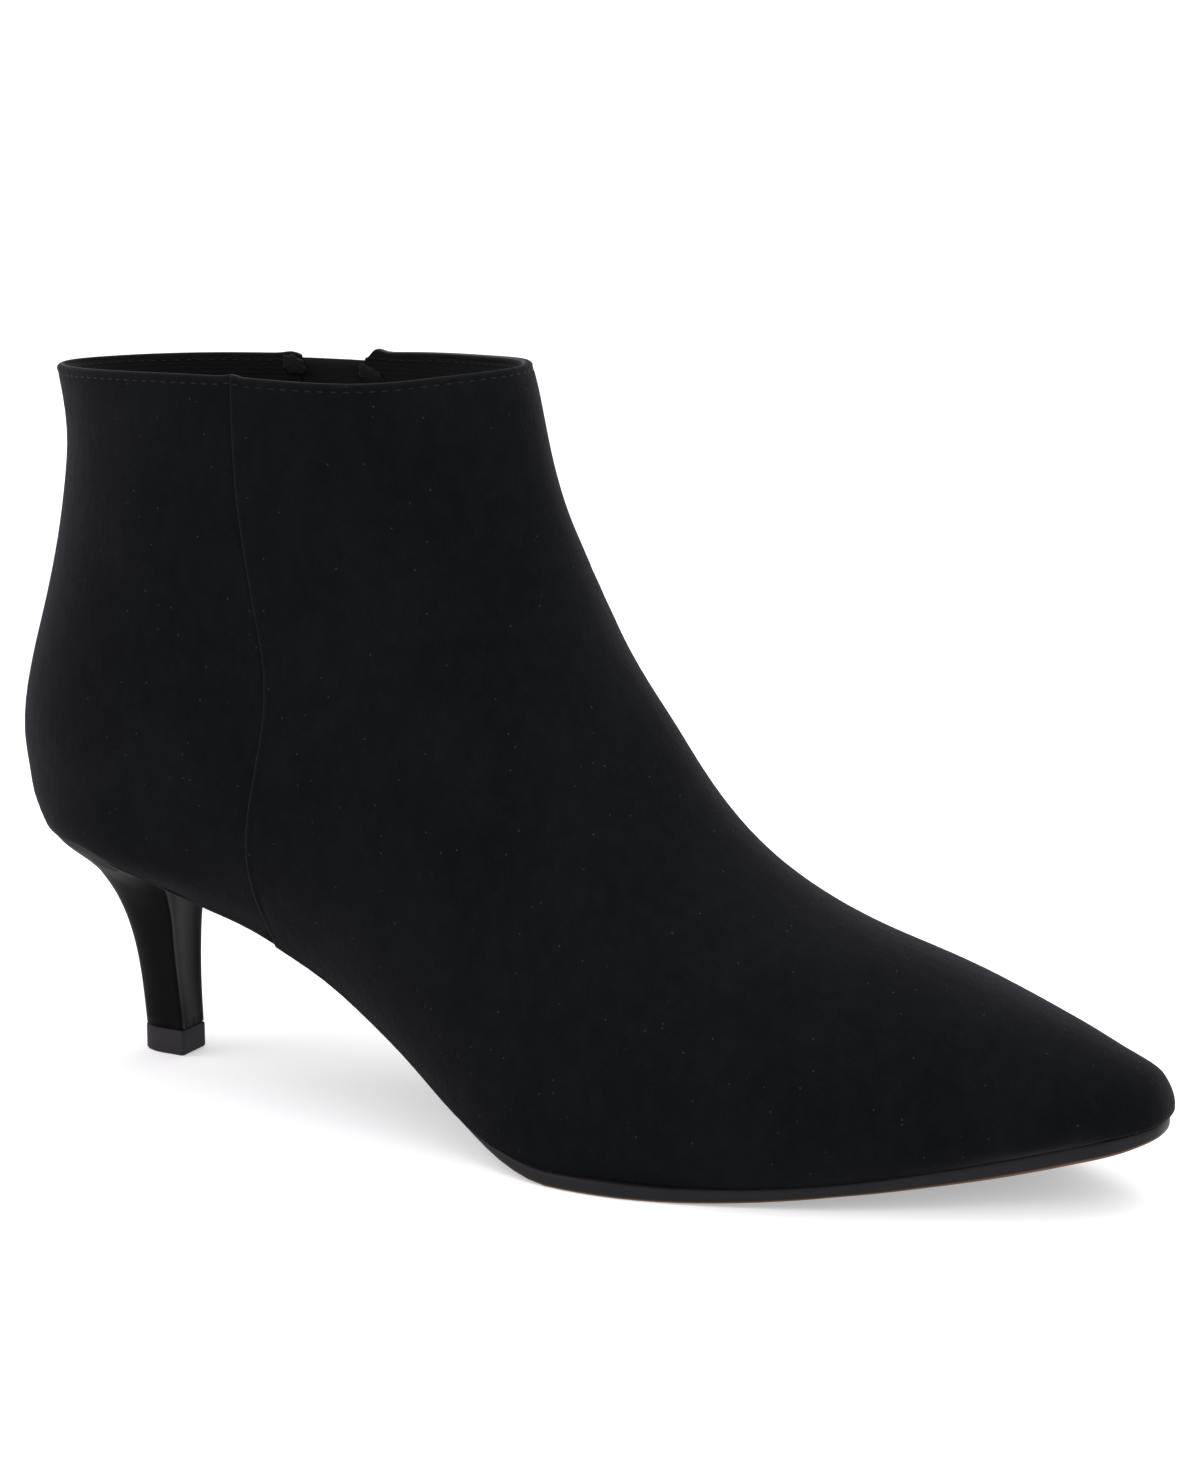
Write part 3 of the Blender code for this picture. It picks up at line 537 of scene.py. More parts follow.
SEAM_LIFT = 0.45
SEAM_LIFT_WIDTH = 1.6
outer_collar, inner_collar = (spline(COLLAR["x"], COLLAR[name]) for name in ("outer", "inner"))
COLLAR_TOP = WALL_POINTS[-1, :, 2].mean()
SEAM_TOP_X = float(seam_line(COLLAR_TOP))


def collar_rise(points):
    """How far points near the collar move up with its edge."""
    x, y, z = points.T
    at = np.clip(x, COLLAR["x"][0], COLLAR["x"][-1])
    lift = SEAM_LIFT * bell(x - SEAM_TOP_X, SEAM_LIFT_WIDTH)
    outer = 1 / (1 + np.exp(y / COLLAR_SIDE))
    near = bell(np.clip(COLLAR_TOP - z, 0, None), COLLAR_REACH)
    return ((outer_collar(at) + lift) * outer + inner_collar(at) * (1 - outer)) * near


def crowd_at_collar(points):
    """Rows of points moved along their columns so that the last ones lie at the set drops."""
    band = points[:-COLLAR_BAND - 1:-1].transpose(1, 0, 2).copy()
    spare = COLLAR_BAND - len(COLLAR_DROPS)
    for c, (column, drop) in enumerate(zip(band, lengths_along(band))):
        wanted = np.append(np.linspace(drop[-1], COLLAR_DROPS[0], spare + 1)[:-1], COLLAR_DROPS)
        points[-COLLAR_BAND:, c] = read_along(wanted, drop, column)


def spread(start, end, slants, columns):
    """Places along a row, close together at both edges."""
    fit = min(1.0, EDGE_SHARE * (end - start) / (EDGE_STEPS[-1] * max(slants)))
    first, last = (EDGE_STEPS * each * fit for each in slants)
    between = np.linspace(start + first[-1], end - last[-1], columns + 2)[1:-1]
    return np.concatenate([start + first, between, (end - last)[::-1]])


class Panel:
    """One closed panel: its outer face, over the collar, down its inner face, and round its edges."""

    def __init__(self, rows, start, end, start_fold, end_fold, face, columns, zip_at=None):
        self.rows, self.face, self.columns, self.zip_at = list(rows), face, columns, zip_at
        self.ends = np.stack([start, end], 1)
        self.slants = np.stack([slant(start), slant(end)], 1)
        self.folds = np.stack([start_fold, end_fold], 1)
        outer, inner, wear_and_highlight = (np.array(part) for part in zip(*map(self.faces_along, rows)))
        self.turn_in(outer, inner, wear_and_highlight)

    def faces_along(self, i):
        """Points of the outer and the inner face along one row, and their painted wear and highlight."""
        on_foot = np.isnan(self.ends[i])
        a, b = np.where(on_foot, (FOOT[0][i], FOOT[1][i]), self.ends[i])
        low, high = np.where(on_foot, (0.0, WALL_ARC[i, -1]), self.ends[i])
        places = spread(a, b, self.slants[i], self.columns)
        points, normal = wall_at(i, places)
        lining, lining_normal = wall_at(i, spread(low, high, self.slants[i], self.columns))
        rim = np.full(len(places), i == 0)
        if not RING[i]:
            rim[[0, -1]] |= on_foot
            for foot, run in ((0, places - a), (-1, b - places)):
                drop = min(float(joint_lift(points[foot, 0])), 0) * on_foot[foot]
                points[:, 2] += drop * np.exp(-run / SKIRT)
        # Kept from the last row, the collar's, for its stitches
        self.from_start, self.from_end = (places - a) / self.slants[i, 0], (b - places) / self.slants[i, 1]
        height, wear_and_highlight, rise = self.at_edges(i, points)
        points[:, 2] += rise
        lining[:, 2] += rise
        for direction in (normal, lining_normal):
            direction[rim, 2] = 0
            direction[:] = unit(direction)
        outside = points + normal * (height + softness(points))[:, None]
        inside = lining + lining_normal * INNER_FACE
        outside[rim, 2] = joint_height(outside[rim, 0]) + FOOT_LIFT
        inside[rim, 2] = sole_top(inside[rim, 0]) + FOOT_LIFT
        return outside, inside, wear_and_highlight

    def at_edges(self, i, points):
        """Height of one row's points over the wall, their painted wear and highlight, and how far they rise
        with the collar.
        """
        height = np.full(len(points), self.face)
        wear_and_highlight = np.zeros(len(points))
        rise = collar_rise(points)
        top = np.exp(-np.clip(COLLAR_TOP - points[:, 2], 0, None) / CORNER_REACH)
        for name, distance, fold in zip(("start", "end"), (self.from_start, self.from_end), self.folds[i]):
            at_zip = name == self.zip_at
            height += fold * folded_edge(distance, GROOVE if at_zip else SEAM_GROOVE)
            # Folded edges are painted paler: nap wear, and a painted highlight along the ridge
            wear_and_highlight = np.maximum(wear_and_highlight, (1.0 if at_zip else SEAM_WEAR_AND_HIGHLIGHT) * fold * np.exp(-distance / BEAD_AT))
            if at_zip:
                rise -= CORNER_DROP[name] * top * bell(distance, CORNER_REACH)
                rise += EAR_RISE[name] * top * bell(distance - EAR_AT, EAR_WIDTH)
        return height, wear_and_highlight, rise

    def turn_in(self, outer, inner, wear_and_highlight):
        """Close the two faces over the collar's edge, with a bead and the groove of its stitches."""
        up = unit(outer[-1] - outer[-2])
        middle, half = (outer[-1] + inner[-1]) / 2, (outer[-1] - inner[-1]) / 2
        out = unit(half)
        crowd_at_collar(outer)
        crowd_at_collar(inner)
        bead = COLLAR_BEAD * bell(COLLAR_DROPS - BEAD_AT, BEAD_WIDTH)
        groove = COLLAR_GROOVE * bell(COLLAR_DROPS - COLLAR_STITCH, GROOVE_WIDTH)
        outer[-len(COLLAR_DROPS):] += out * (bead - groove)[:, None, None]
        half = half + out * bead[-1] / 2
        middle = middle + out * bead[-1] / 2
        over = []
        for angle in np.linspace(0, math.pi, COLLAR_STEPS + 1)[1:-1]:
            lower = COLLAR_ROUND * (1 - math.sin(angle))
            over.append(middle + half * math.cos(angle) - up * lower)
        stitched = -1 - int(np.argmax(COLLAR_DROPS[::-1] >= COLLAR_STITCH))
        self.stitch_line, self.inner_line = outer[stitched], inner[stitched]
        self.stitch_normal = out
        self.grid = np.concatenate([outer, over, inner[::-1]])
        # Paleness painted on the suede: nap wear at folded edges, and a painted highlight round the collar
        # and on its crest
        self.edge = np.zeros(self.grid.shape[:2])
        self.edge[:len(outer)] = wear_and_highlight
        top = len(outer) - 1
        crest = top + 1 + len(over) // 2
        self.edge[top:top + len(over) + 2] = COLLAR_WEAR_AND_HIGHLIGHT
        self.edge[crest:crest + 2] = COLLAR_CREST_WEAR_AND_HIGHLIGHT
        self.lined_from = top + len(over) + 1

    def add_to(self, shape, layer, start_wall, end_wall):
        """Add the panel's faces to a bmesh; start_wall and end_wall say on which rows an edge is closed."""
        total, columns = self.grid.shape[:2]
        made = [[shape.verts.new(in_frame(point)) for point in row] for row in self.grid]
        # Each point carries its painted paleness: nap wear and a painted highlight
        for row, edges in zip(made, self.edge):
            for vertex, value in zip(row, edges):
                vertex[layer] = value
        for r in range(total - 1):
            for c in range(columns - 1):
                face = shape.faces.new((made[r][c], made[r][c + 1], made[r + 1][c + 1], made[r + 1][c]))
                face.material_index = int(r >= self.lined_from)
        for r in range(len(self.rows) - 1):
            for column, wall in ((0, start_wall), (columns - 1, end_wall)):
                if wall[self.rows[r]]:
                    low, high = total - 1 - r, total - 2 - r
                    corners = made[r][column], made[r + 1][column], made[high][column], made[low][column]
                    shape.faces.new(corners)
        for c in range(columns - 1):
            shape.faces.new((made[0][c], made[0][c + 1], made[-1][c + 1], made[-1][c]))


# The frame's own place of the last: the heel's back is at SEAT_BACK and its tip is centred on y = 0
heel_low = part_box("heel")[0]
tip_low, tip_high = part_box("heel_tip")
PLACE = np.array([heel_low.x - SEAT_BACK * MM, (tip_low.y + tip_high.y) / 2, tip_low.z])


def in_frame(points):
    """Millimetres along the last as metres in the frame."""
    return np.asarray(points, float) * MM + PLACE


def new_object(name, data):
    """An object in the scene, at the origin."""
    made = bpy.data.objects.new(name, data)
    bpy.context.scene.collection.objects.link(made)
    return made


def new_piece(name, mesh, *finishes):
    """A finished piece with its materials, shaded smooth."""
    for finish in finishes:
        mesh.materials.append(finish)
    mesh.shade_smooth()
    return new_object(name, mesh)


def mesh_of(name, shape):
    """The mesh of a bmesh, which is freed, with all faces turned out."""
    bmesh.ops.recalc_face_normals(shape, faces=shape.faces)
    mesh = bpy.data.meshes.new(name)
    shape.to_mesh(mesh)
    shape.free()
    return mesh


class Wire:
    """A shader socket in a Python expression: arithmetic adds Math nodes, node() adds any other."""

    def __init__(self, tree, socket=None):
        self.tree, self.socket = tree, socket

    def node(self, kind, settings, sockets, output=0):
        made = self.tree.nodes.new(kind if "Node" in kind else "ShaderNode" + kind)
        for name, value in settings.items():
            setattr(made, name, value)
        for name, value in sockets.items():
            target = next(s for s in made.inputs if name in (s.identifier, s.name))
            if isinstance(value, Wire):
                self.tree.links.new(value.socket, target)
            else:
                target.default_value = value
        return Wire(self.tree, made.outputs[output])

    def math(self, operation, first, second):
        return self.node("Math", {"operation": operation}, {"Value": first, "Value_001": second})

    def __add__(self, other):
        return self.math("ADD", self, other)

    def __radd__(self, other):
        return self.math("ADD", other, self)

    def __sub__(self, other):
        return self.math("SUBTRACT", self, other)

    def __rsub__(self, other):
        return self.math("SUBTRACT", other, self)

    def __mul__(self, other):
        return self.math("MULTIPLY", self, other)

    def __rmul__(self, other):
        return self.math("MULTIPLY", other, self)

    def above(self, limit):
        return self.math("GREATER_THAN", self, limit)

    def between(self, low, high):
        return self.node("MapRange", {"interpolation_type": "SMOOTHSTEP"},
                         {"Value": self, "From Min": low, "From Max": high})

    def blend(self, first, second):
        """Colour from first to second as this value goes from 0 to 1."""
        return self.node("Mix", {"data_type": "RGBA"},
                         {"Factor_Float": self, "A_Color": first, "B_Color": second}, 2)

    def other(self, output):
        """Another output of the node that this one comes from."""
        return Wire(self.tree, self.socket.node.outputs[output])

    def painted(self, name):
        """A value that the mesh carries at its points."""
        return self.node("Attribute", {"attribute_name": name}, {}, 2)

    def mapped(self, **changes):
        """These coordinates, turned or scaled."""
        return self.node("Mapping", {}, {"Vector": self, **changes})

    def noise(self, size, detail=2.0, roughness=0.5):
        """Noise at these coordinates whose grains are about size millimetres across."""
        return self.node("TexNoise", {}, {"Vector": self, "Scale": 1 / (size * MM), "Detail": detail,
                                          "Roughness": roughness})

    def bump(self, strength, depth, below=None):
        """A normal from this height, depth in millimetres, over another normal if given."""
        sockets = {"Strength": strength, "Distance": depth * MM, "Height": self}
        if below is not None:
            sockets["Normal"] = below
        return self.node("Bump", {}, sockets)


def new_finish(name, **constants):
    """A Principled material; returns it with its shader and a wire of its object coordinates."""
    made = bpy.data.materials.new(name)
    made.use_nodes = True
    shader = made.node_tree.nodes["Principled BSDF"]
    for socket, value in constants.items():
        shader.inputs[socket.replace("_", " ")].default_value = value
    return made, shader, Wire(made.node_tree).node("TexCoord", {}, {}, 3)


def feed(shader, **wires):
    """Link wires into the shader's sockets."""
    for socket, wire in wires.items():
        wire.tree.links.new(wire.socket, shader.inputs[socket.replace("_", " ")])


VIOLET = (0.5, -0.3, 1.0)    # how a tint moves red, green and blue


def grey(value, tint=0.0):
    """A neutral colour, a little towards violet with tint."""
    return tuple(value * (1 + tint * share) for share in VIOLET) + (1,)


def suede_finish():
    """Black suede: short nap brushed into paler and darker patches, fine fibres and specks of lint."""
    made, shader, at = new_finish(
        "black_suede", Roughness=0.95, Specular_IOR_Level=0.03, Sheen_Weight=0.13, Sheen_Roughness=0.35,
        Sheen_Tint=(0.46, 0.40, 0.48, 1))
    brushed = at.mapped(Rotation=(0, 0.6, 0), Scale=(1.0, 1.0, 0.7))
    patches = brushed.noise(22.0, 3.0).between(0.3, 0.7)
    strokes = brushed.noise(3.2, 3.0, 0.6).between(0.3, 0.75)
    fibre = at.noise(0.55, 4.0, 0.7)
    # The edge attribute makes the nap paler at folded edges and the collar: nap wear and a painted
    # highlight
    edge = at.painted("edge")
    tone = patches * 0.22 + strokes * 0.22 + fibre * 0.5 + edge * 0.25
    cells = at.node("TexVoronoi", {"feature": "F1"}, {"Vector": at, "Scale": 1 / (1.6 * MM)})
    chosen = at.node("SeparateColor", {}, {"Color": cells.other(1)}).above(0.86)
    lint = (1 - cells.between(0.08, 0.15)) * chosen
    nap = tone.blend((0.0017, 0.0020, 0.0023, 1), (0.0058, 0.0067, 0.0075, 1))
    # Folded edges and the collar's crest blend towards pale grey: nap wear and a painted highlight
    rubbed_and_highlit = (edge.between(0.6, 1.0) * 0.6).blend(nap, grey(0.07))
    feed(shader, Base_Color=(lint * 0.3).blend(rubbed_and_highlit, grey(0.06)))
    soft = strokes.bump(0.5, 0.10)
    feed(shader, Normal=fibre.bump(0.8, 0.16, soft))
    return made


def lining_finish():
    """Lining: a soft charcoal knit with a faint rib."""
    made, shader, at = new_finish("shaft_lining", Roughness=0.9, Specular_IOR_Level=0.1, Sheen_Weight=0.06)
    knit = at.node("TexWave", {"bands_direction": "Z"},
                   {"Vector": at, "Scale": 1 / (3.0 * MM), "Distortion": 1.5, "Detail": 2.0})
    cloudy = at.noise(12.0)
    feed(shader, Base_Color=(knit * 0.3 + cloudy * 0.7).blend(grey(0.0014, 0.1), grey(0.0036, 0.1)))
    feed(shader, Normal=knit.bump(0.4, 0.1))
    return made


FRONT_COLUMNS = 84
BACK_COLUMNS = 34
SLOT_OPEN = 0.5              # the slot's half-width from which its edge is folded
WELD = 0.002                 # points closer than this become one
all_rows = range(len(RING))
no_edge = np.full(len(RING), np.nan)
has_outer = ~np.isnan(outer_seam)
has_inner = ~np.isnan(front_zip_edge)
zip_rows = np.array([has_inner[i] and slot_half(wall_at(i, back_zip_edge[i:i + 1])[0][0, 2]) > SLOT_OPEN
                     for i in all_rows])
outer_rows = range(int(np.argmax(has_outer)) - 1, len(RING))
inner_rows = range(int(np.argmax(has_inner)) - 1, len(RING))
never = np.zeros(len(RING), bool)

front_panel = Panel(all_rows, outer_seam, front_zip_edge, has_outer, has_inner, FRONT_FACE, FRONT_COLUMNS,
                    "end")
outer_lap = outer_seam + LAP
outer_lap[outer_rows[0]] = FOOT[0][outer_rows[0]] + LAP
back_outer = Panel(outer_rows, no_edge, outer_lap, never, never, BACK_FACE, BACK_COLUMNS)
inner_lap = back_zip_edge - np.where(zip_rows, 0.0, LAP)
inner_lap[inner_rows[0]] = FOOT[1][inner_rows[0]] - LAP
back_inner = Panel(inner_rows, inner_lap, no_edge, zip_rows, never, BACK_FACE, BACK_COLUMNS, "start")

shape = bmesh.new()
# Per point paleness of the suede: nap wear and a painted highlight at folded edges and the collar
wear_and_highlight_layer = shape.verts.layers.float.new("edge")
front_panel.add_to(shape, wear_and_highlight_layer, ~never, ~never)
back_outer.add_to(shape, wear_and_highlight_layer, ~RING, ~never)
back_inner.add_to(shape, wear_and_highlight_layer, ~never, ~RING)
bmesh.ops.remove_doubles(shape, verts=shape.verts, dist=WELD * MM)
upper = new_piece("suede_upper", mesh_of("suede_upper", shape), suede_finish(), lining_finish())
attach(upper, "shoe")
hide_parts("upper")


# Stitching: black thread in a row close under the collar's turned-in edge, and another round the zip's
# slot that holds its tape. Each stitch lies in a soft groove and shows as a short, slightly shiny dash.
STITCH_PITCH = 2.45
STITCH_LENGTH = 1.5
STITCH_WIDTH = 0.40
STITCH_HEIGHT = 0.22
STITCH_WOBBLE = 0.12         # radians that a stitch may lie askew
STITCH_CLEAR = 1.4           # first stitch from a folded edge
SLOT_STITCH = SLOT_HALF + GROOVE_AT
SLOT_STITCH_TOP = 143.0
SLOT_SAMPLES = 60            # points along the slot's straight sides and round its end
BEND_SAMPLES = 30
RAY_START = 200.0            # y from which a ray finds the inner side
DASH_SEGMENTS = 8
DASH_RINGS = 6
DASH_SEED = 7


def grid_faces(rows, columns):
    """Quads over a grid of points that is counted row by row."""
    return [(a, a + 1, a + 1 + columns, a + columns)
            for r in range(rows - 1) for a in range(r * columns, (r + 1) * columns - 1)]


wall_tree = BVHTree.FromPolygons(WALL_POINTS.reshape(-1, 3).tolist(), grid_faces(*WALL_POINTS.shape[:2]))


def inner_side(x, z):
    """Point of the wall and its outward direction on the shoe's inner side."""
    spot, normal = wall_tree.ray_cast(Vector((x, RAY_START, z)), Vector((0, -1, 0)))[:2]
    return np.array(spot), np.array(normal if normal.y > 0 else -normal)


def row_tree():
    """Rounded dashes set at an even pitch along paths whose points carry an outward direction."""
    tree = bpy.data.node_groups.new("dashes_along_a_path", "GeometryNodeTree")
    tree.interface.new_socket("Path", in_out="INPUT", socket_type="NodeSocketGeometry")
    for name in ("Pitch", "Length", "Width", "Height", "Turn", "Wobble"):
        tree.interface.new_socket(name, in_out="INPUT", socket_type="NodeSocketFloat")
    tree.interface.new_socket("Finish", in_out="INPUT", socket_type="NodeSocketMaterial")
    tree.interface.new_socket("Row", in_out="OUTPUT", socket_type="NodeSocketGeometry")
    given = tree.nodes.new("NodeGroupInput")
    size = {socket.name: Wire(tree, socket) for socket in given.outputs if socket.name}
    start = Wire(tree)
    curve = start.node("GeometryNodeMeshToCurve", {}, {"Mesh": size["Path"]})
    even = start.node("GeometryNodeResampleCurve", {"mode": "LENGTH"},
                      {"Curve": curve, "Length": size["Pitch"]})
    out = start.node("GeometryNodeInputNamedAttribute", {"data_type": "FLOAT_VECTOR"}, {"Name": "out"})
    tangent = start.node("GeometryNodeInputTangent", {}, {})
    along = start.node("FunctionNodeAlignRotationToVector", {"axis": "X"}, {"Vector": tangent})
    upright = start.node("FunctionNodeAlignRotationToVector", {"axis": "Z", "pivot_axis": "X"},
                         {"Rotation": along, "Vector": out})
    askew = start.node("FunctionNodeRandomValue", {"data_type": "FLOAT"},
                       {"Min_001": size["Wobble"] * -1.0, "Max_001": size["Wobble"], "Seed": DASH_SEED}, 1)
    turn = start.node("FunctionNodeAxisAngleToRotation", {},
                      {"Axis": (0, 0, 1), "Angle": size["Turn"] + askew})
    turned = start.node("FunctionNodeRotateRotation", {"rotation_space": "LOCAL"},
                        {"Rotation": upright, "Rotate By": turn})
    ball = start.node("GeometryNodeMeshUVSphere", {},
                      {"Segments": DASH_SEGMENTS, "Rings": DASH_RINGS, "Radius": 0.5})
    scale = start.node("CombineXYZ", {}, {"X": size["Length"], "Y": size["Width"], "Z": size["Height"]})
    dash = start.node("GeometryNodeTransform", {}, {"Geometry": ball, "Scale": scale})
    placed = start.node("GeometryNodeInstanceOnPoints", {},
                        {"Points": even, "Instance": dash, "Rotation": turned})
    real = start.node("GeometryNodeRealizeInstances", {}, {"Geometry": placed})
    finished = start.node("GeometryNodeSetMaterial", {}, {"Geometry": real, "Material": size["Finish"]})
    result = tree.nodes.new("NodeGroupOutput")
    tree.links.new(finished.socket, result.inputs["Row"])
    return tree


dash_tree = row_tree()


def dash_row(name, runs, finish, **sizes):
    """One piece of dashes along runs of points with their outward directions; sizes in millimetres."""
    path = bpy.data.meshes.new(name)
    points = np.concatenate([run[0] for run in runs])
    outward = np.concatenate([run[1] for run in runs])
    ends = np.cumsum([len(run[0]) for run in runs])
    edges = [(i, i + 1) for i in range(len(points) - 1) if i + 1 not in ends]
    path.from_pydata(in_frame(points).tolist(), edges, [])
    path.attributes.new("out", "FLOAT_VECTOR", "POINT").data.foreach_set("vector", outward.ravel())
    made = new_object(name, path)
    modifier = made.modifiers.new("dashes", "NODES")
    modifier.node_group = dash_tree
    for socket in dash_tree.interface.items_tree:
        if socket.name in sizes:
            angle = socket.name in ("Turn", "Wobble")
            modifier[socket.identifier] = float(sizes[socket.name]) * (1 if angle else MM)
        elif socket.name == "Finish":
            modifier[socket.identifier] = finish
    bpy.context.view_layer.update()
    solid = bpy.data.meshes.new_from_object(made.evaluated_get(bpy.context.evaluated_depsgraph_get()))
    made.modifiers.clear()
    made.data = solid
    solid.shade_smooth()
    return made


def thread_finish():
    """Black twisted thread."""
    made, shader, at = new_finish("black_thread", Roughness=0.6, Specular_IOR_Level=0.1)
    twist = at.noise(0.25, 1.0)
    feed(shader, Base_Color=twist.blend(grey(0.003, 0.05), grey(0.009, 0.05)))
    return made


back_inner_keep = back_inner.from_start > GROOVE_AT
back_outer_keep = back_outer.from_end > LAP + STITCH_CLEAR / 2
front_keep = (front_panel.from_start > STITCH_CLEAR) & (front_panel.from_end > GROOVE_AT)
collar_runs = []
for line, facing in (("stitch_line", 1), ("inner_line", -1)):
    runs = [(getattr(panel, line)[keep], facing * panel.stitch_normal[keep])
            for panel, keep in ((back_inner, back_inner_keep), (back_outer, back_outer_keep),
                                (front_panel, front_keep))]
    back_run = [np.concatenate(pair) for pair in zip(*runs[:2])]
    collar_runs += [back_run, runs[2]]

round_z = ZIP_END + SLOT_HALF
straight = np.linspace(SLOT_STITCH_TOP, round_z, SLOT_SAMPLES)
bend = np.linspace(0, math.pi, BEND_SAMPLES)[1:-1]
slot_x = np.concatenate([zip_line(straight) + SLOT_STITCH, zip_line(round_z) + SLOT_STITCH * np.cos(bend),
                         zip_line(straight[::-1]) - SLOT_STITCH])
slot_z = np.concatenate([straight, round_z - SLOT_STITCH * np.sin(bend), straight[::-1]])
slot_spots, slot_out = (np.array(part) for part in zip(*map(inner_side, slot_x, slot_z)))
slot_face = np.where(slot_x > zip_line(slot_z), FRONT_FACE, BACK_FACE) - GROOVE / 2
slot_run = slot_spots + slot_out * slot_face[:, None], slot_out

thread = thread_finish()
stitches = dash_row("stitches", collar_runs + [slot_run], thread, Pitch=STITCH_PITCH, Length=STITCH_LENGTH,
                    Width=STITCH_WIDTH, Height=STITCH_HEIGHT, Turn=0, Wobble=STITCH_WOBBLE)
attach(stitches, "shoe")


# Insole: a thin padded board covered with a dark sock of microfibre, glued in over the turned-in upper.
# Its edge is skived, so it rolls down softly into the corner of the wall.
INSOLE_INSET = 2.9           # from the feather line in to the board's edge
INSOLE_START = SEAT_BACK + 0.15
SOLE_POINTS = 90
INSOLE_EDGE = table(
    "inset rise",
    (0.0, 0.3), (0.0, 1.2), (0.25, 1.75), (0.7, 2.2), (1.3, 2.5), (2.0, 2.68), (3.2, 2.76),
)


def sole_outline(start_x, outset):
    """Feather line from the toe's tip back to start_x, moved out by outset(x): tip, outer, inner side."""
    share = (1 - np.cos(np.linspace(0, math.pi, SOLE_POINTS))) / 2
    x = (start_x + (LENGTH - start_x) * share)[::-1]
    sides = []
    for side in (-1, 1):
        line = np.stack([x, side * feather(x, side)], 1)
        tangent = np.gradient(line, axis=0)
        tangent[0] = (0, side)
        normal = unit(side * np.stack([tangent[:, 1], -tangent[:, 0]], 1))
        normal[-1] *= 1 if start_x < SEAT_CENTRE else (0, 1)
        sides.append(line + normal * outset(x)[:, None])
    return np.concatenate([sides[0], sides[1][:0:-1]])


def at_height(plan, z):
    """Plan points with their heights."""
    return np.column_stack([plan, np.broadcast_to(z, len(plan))])


def stacked(name, rings, shades=None, attribute=None):
    """Closed mesh through rings of equal count, capped across; shades give each ring's attribute."""
    count = len(rings[0])
    half = (count - 1) // 2
    faces = []
    for i in range(len(rings) - 1):
        for j in range(count):
            a, b = i * count + j, i * count + (j + 1) % count
            faces.append((a, b, b + count, a + count))
    for start in (0, (len(rings) - 1) * count):
        faces.append((start, start + 1, start + count - 1))
        for j in range(1, half):
            faces.append((start + j, start + j + 1, start + count - j - 1, start + count - j))
        if count % 2 == 0:
            faces.append((start + half, start + half + 1, start + count - half))
    mesh = bpy.data.meshes.new(name)
    mesh.from_pydata(in_frame(np.concatenate(rings)).tolist(), [], faces)
    if attribute:
        values = np.concatenate([np.broadcast_to(shade, count) for shade in shades])
        mesh.attributes.new(attribute, "FLOAT", "POINT").data.foreach_set("value", values)
    solid = bmesh.new()
    solid.from_mesh(mesh)
    bmesh.ops.recalc_face_normals(solid, faces=solid.faces)
    solid.to_mesh(mesh)
    solid.free()
    return mesh


def sock_finish():
    """Insole sock: dark microfibre with a soft, slightly matted nap."""
    made, shader, at = new_finish("insole_sock", Roughness=0.9, Specular_IOR_Level=0.1, Sheen_Weight=0.08)
    matted = at.noise(14.0, 3.0)
    nap = at.noise(0.8, 4.0, 0.65)
    feed(shader, Base_Color=(matted * 0.6 + nap * 0.4).blend(grey(0.016), grey(0.034, 0.05)))
    feed(shader, Normal=nap.bump(0.5, 0.12))
    return made


insole_rings = []
for inset, rise in zip(*INSOLE_EDGE.values()):
    plan = sole_outline(INSOLE_START, lambda x, inset=inset: np.full_like(x, -INSOLE_INSET - inset))
    insole_rings.append(at_height(plan, sole_top(plan[:, 0]) + rise))
insole = new_piece("insole_sock", stacked("insole_sock", insole_rings), sock_finish())
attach(insole, "shoe")
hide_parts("insole")


# Outsole: a thin moulded rubber sole, cemented on from the heel's breast to the toe. Its black edge stands
# out a little round the forefoot, and its bare lower corner shows as a warm brown hairline.
HEEL_BREAST = 29.5
SOLE_GAP = 0.3
STEP = table(                # how far the forefoot's edge stands out past the feather line
    "x out",
    (95, 0.0), (118, 0.5), (135, 1.2), (150, 1.7), (163, 1.5), (180, 0.9), (205, 0.9), (225, 0.7),
    (237, 0.1), (LENGTH, -1.3),
)
EASE = table(                # how far the sole's underside lies below the last's own curve
    "x drop",
    (35, 0.0), (50, 0.7), (60, 0.8), (70, 0.6), (80, 0.1), (96, 0.1), (108, 0.6), (116, 0.4), (126, 0.0),
    (137, 0.0), (156, 0.0), (176, -0.2), (190, -0.4), (204, 0.0), (217, 0.6), (230, 0.9), (238, 0.3),
    (LENGTH, -0.2),
)
BARE_FROM = 95.0             # the brown hairline fades in from the first to the second
BARE_FULL = 145.0
WAIST_SHOW = 0.45            # sole that shows under the suede along the waist
WAIST_TUCK = 0.6
BEVEL_FULL = 95.0            # the waist's underside is bevelled up to its edge as far forward as this
BEVEL_END = 135.0
NARROW_TOE = 60.0            # insets past a limit shrink over this length towards the toe's tip
NARROW_LEAST = 0.4
NARROW_FROM = 1.5
SOLE_SIDE = table(
    "inset share bare",
    (14.0, 0.00, 0.0),
    (10.0, 0.00, 0.0),
    (7.0, 0.00, 0.0),
    (4.5, 0.00, 0.0),
    (1.5, 0.00, 0.0),
    (0.75, 0.01, 0.3),
    (0.38, 0.05, 1.0),
    (0.15, 0.12, 0.7),
    (0.03, 0.22, 0.0),
    (0.00, 0.38, 0.0),
    (0.00, 0.62, 0.0),
    (0.05, 0.78, 0.0),
    (0.20, 0.91, 0.0),
    (0.50, 0.98, 0.0),
    (1.40, 1.00, 0.0),
)


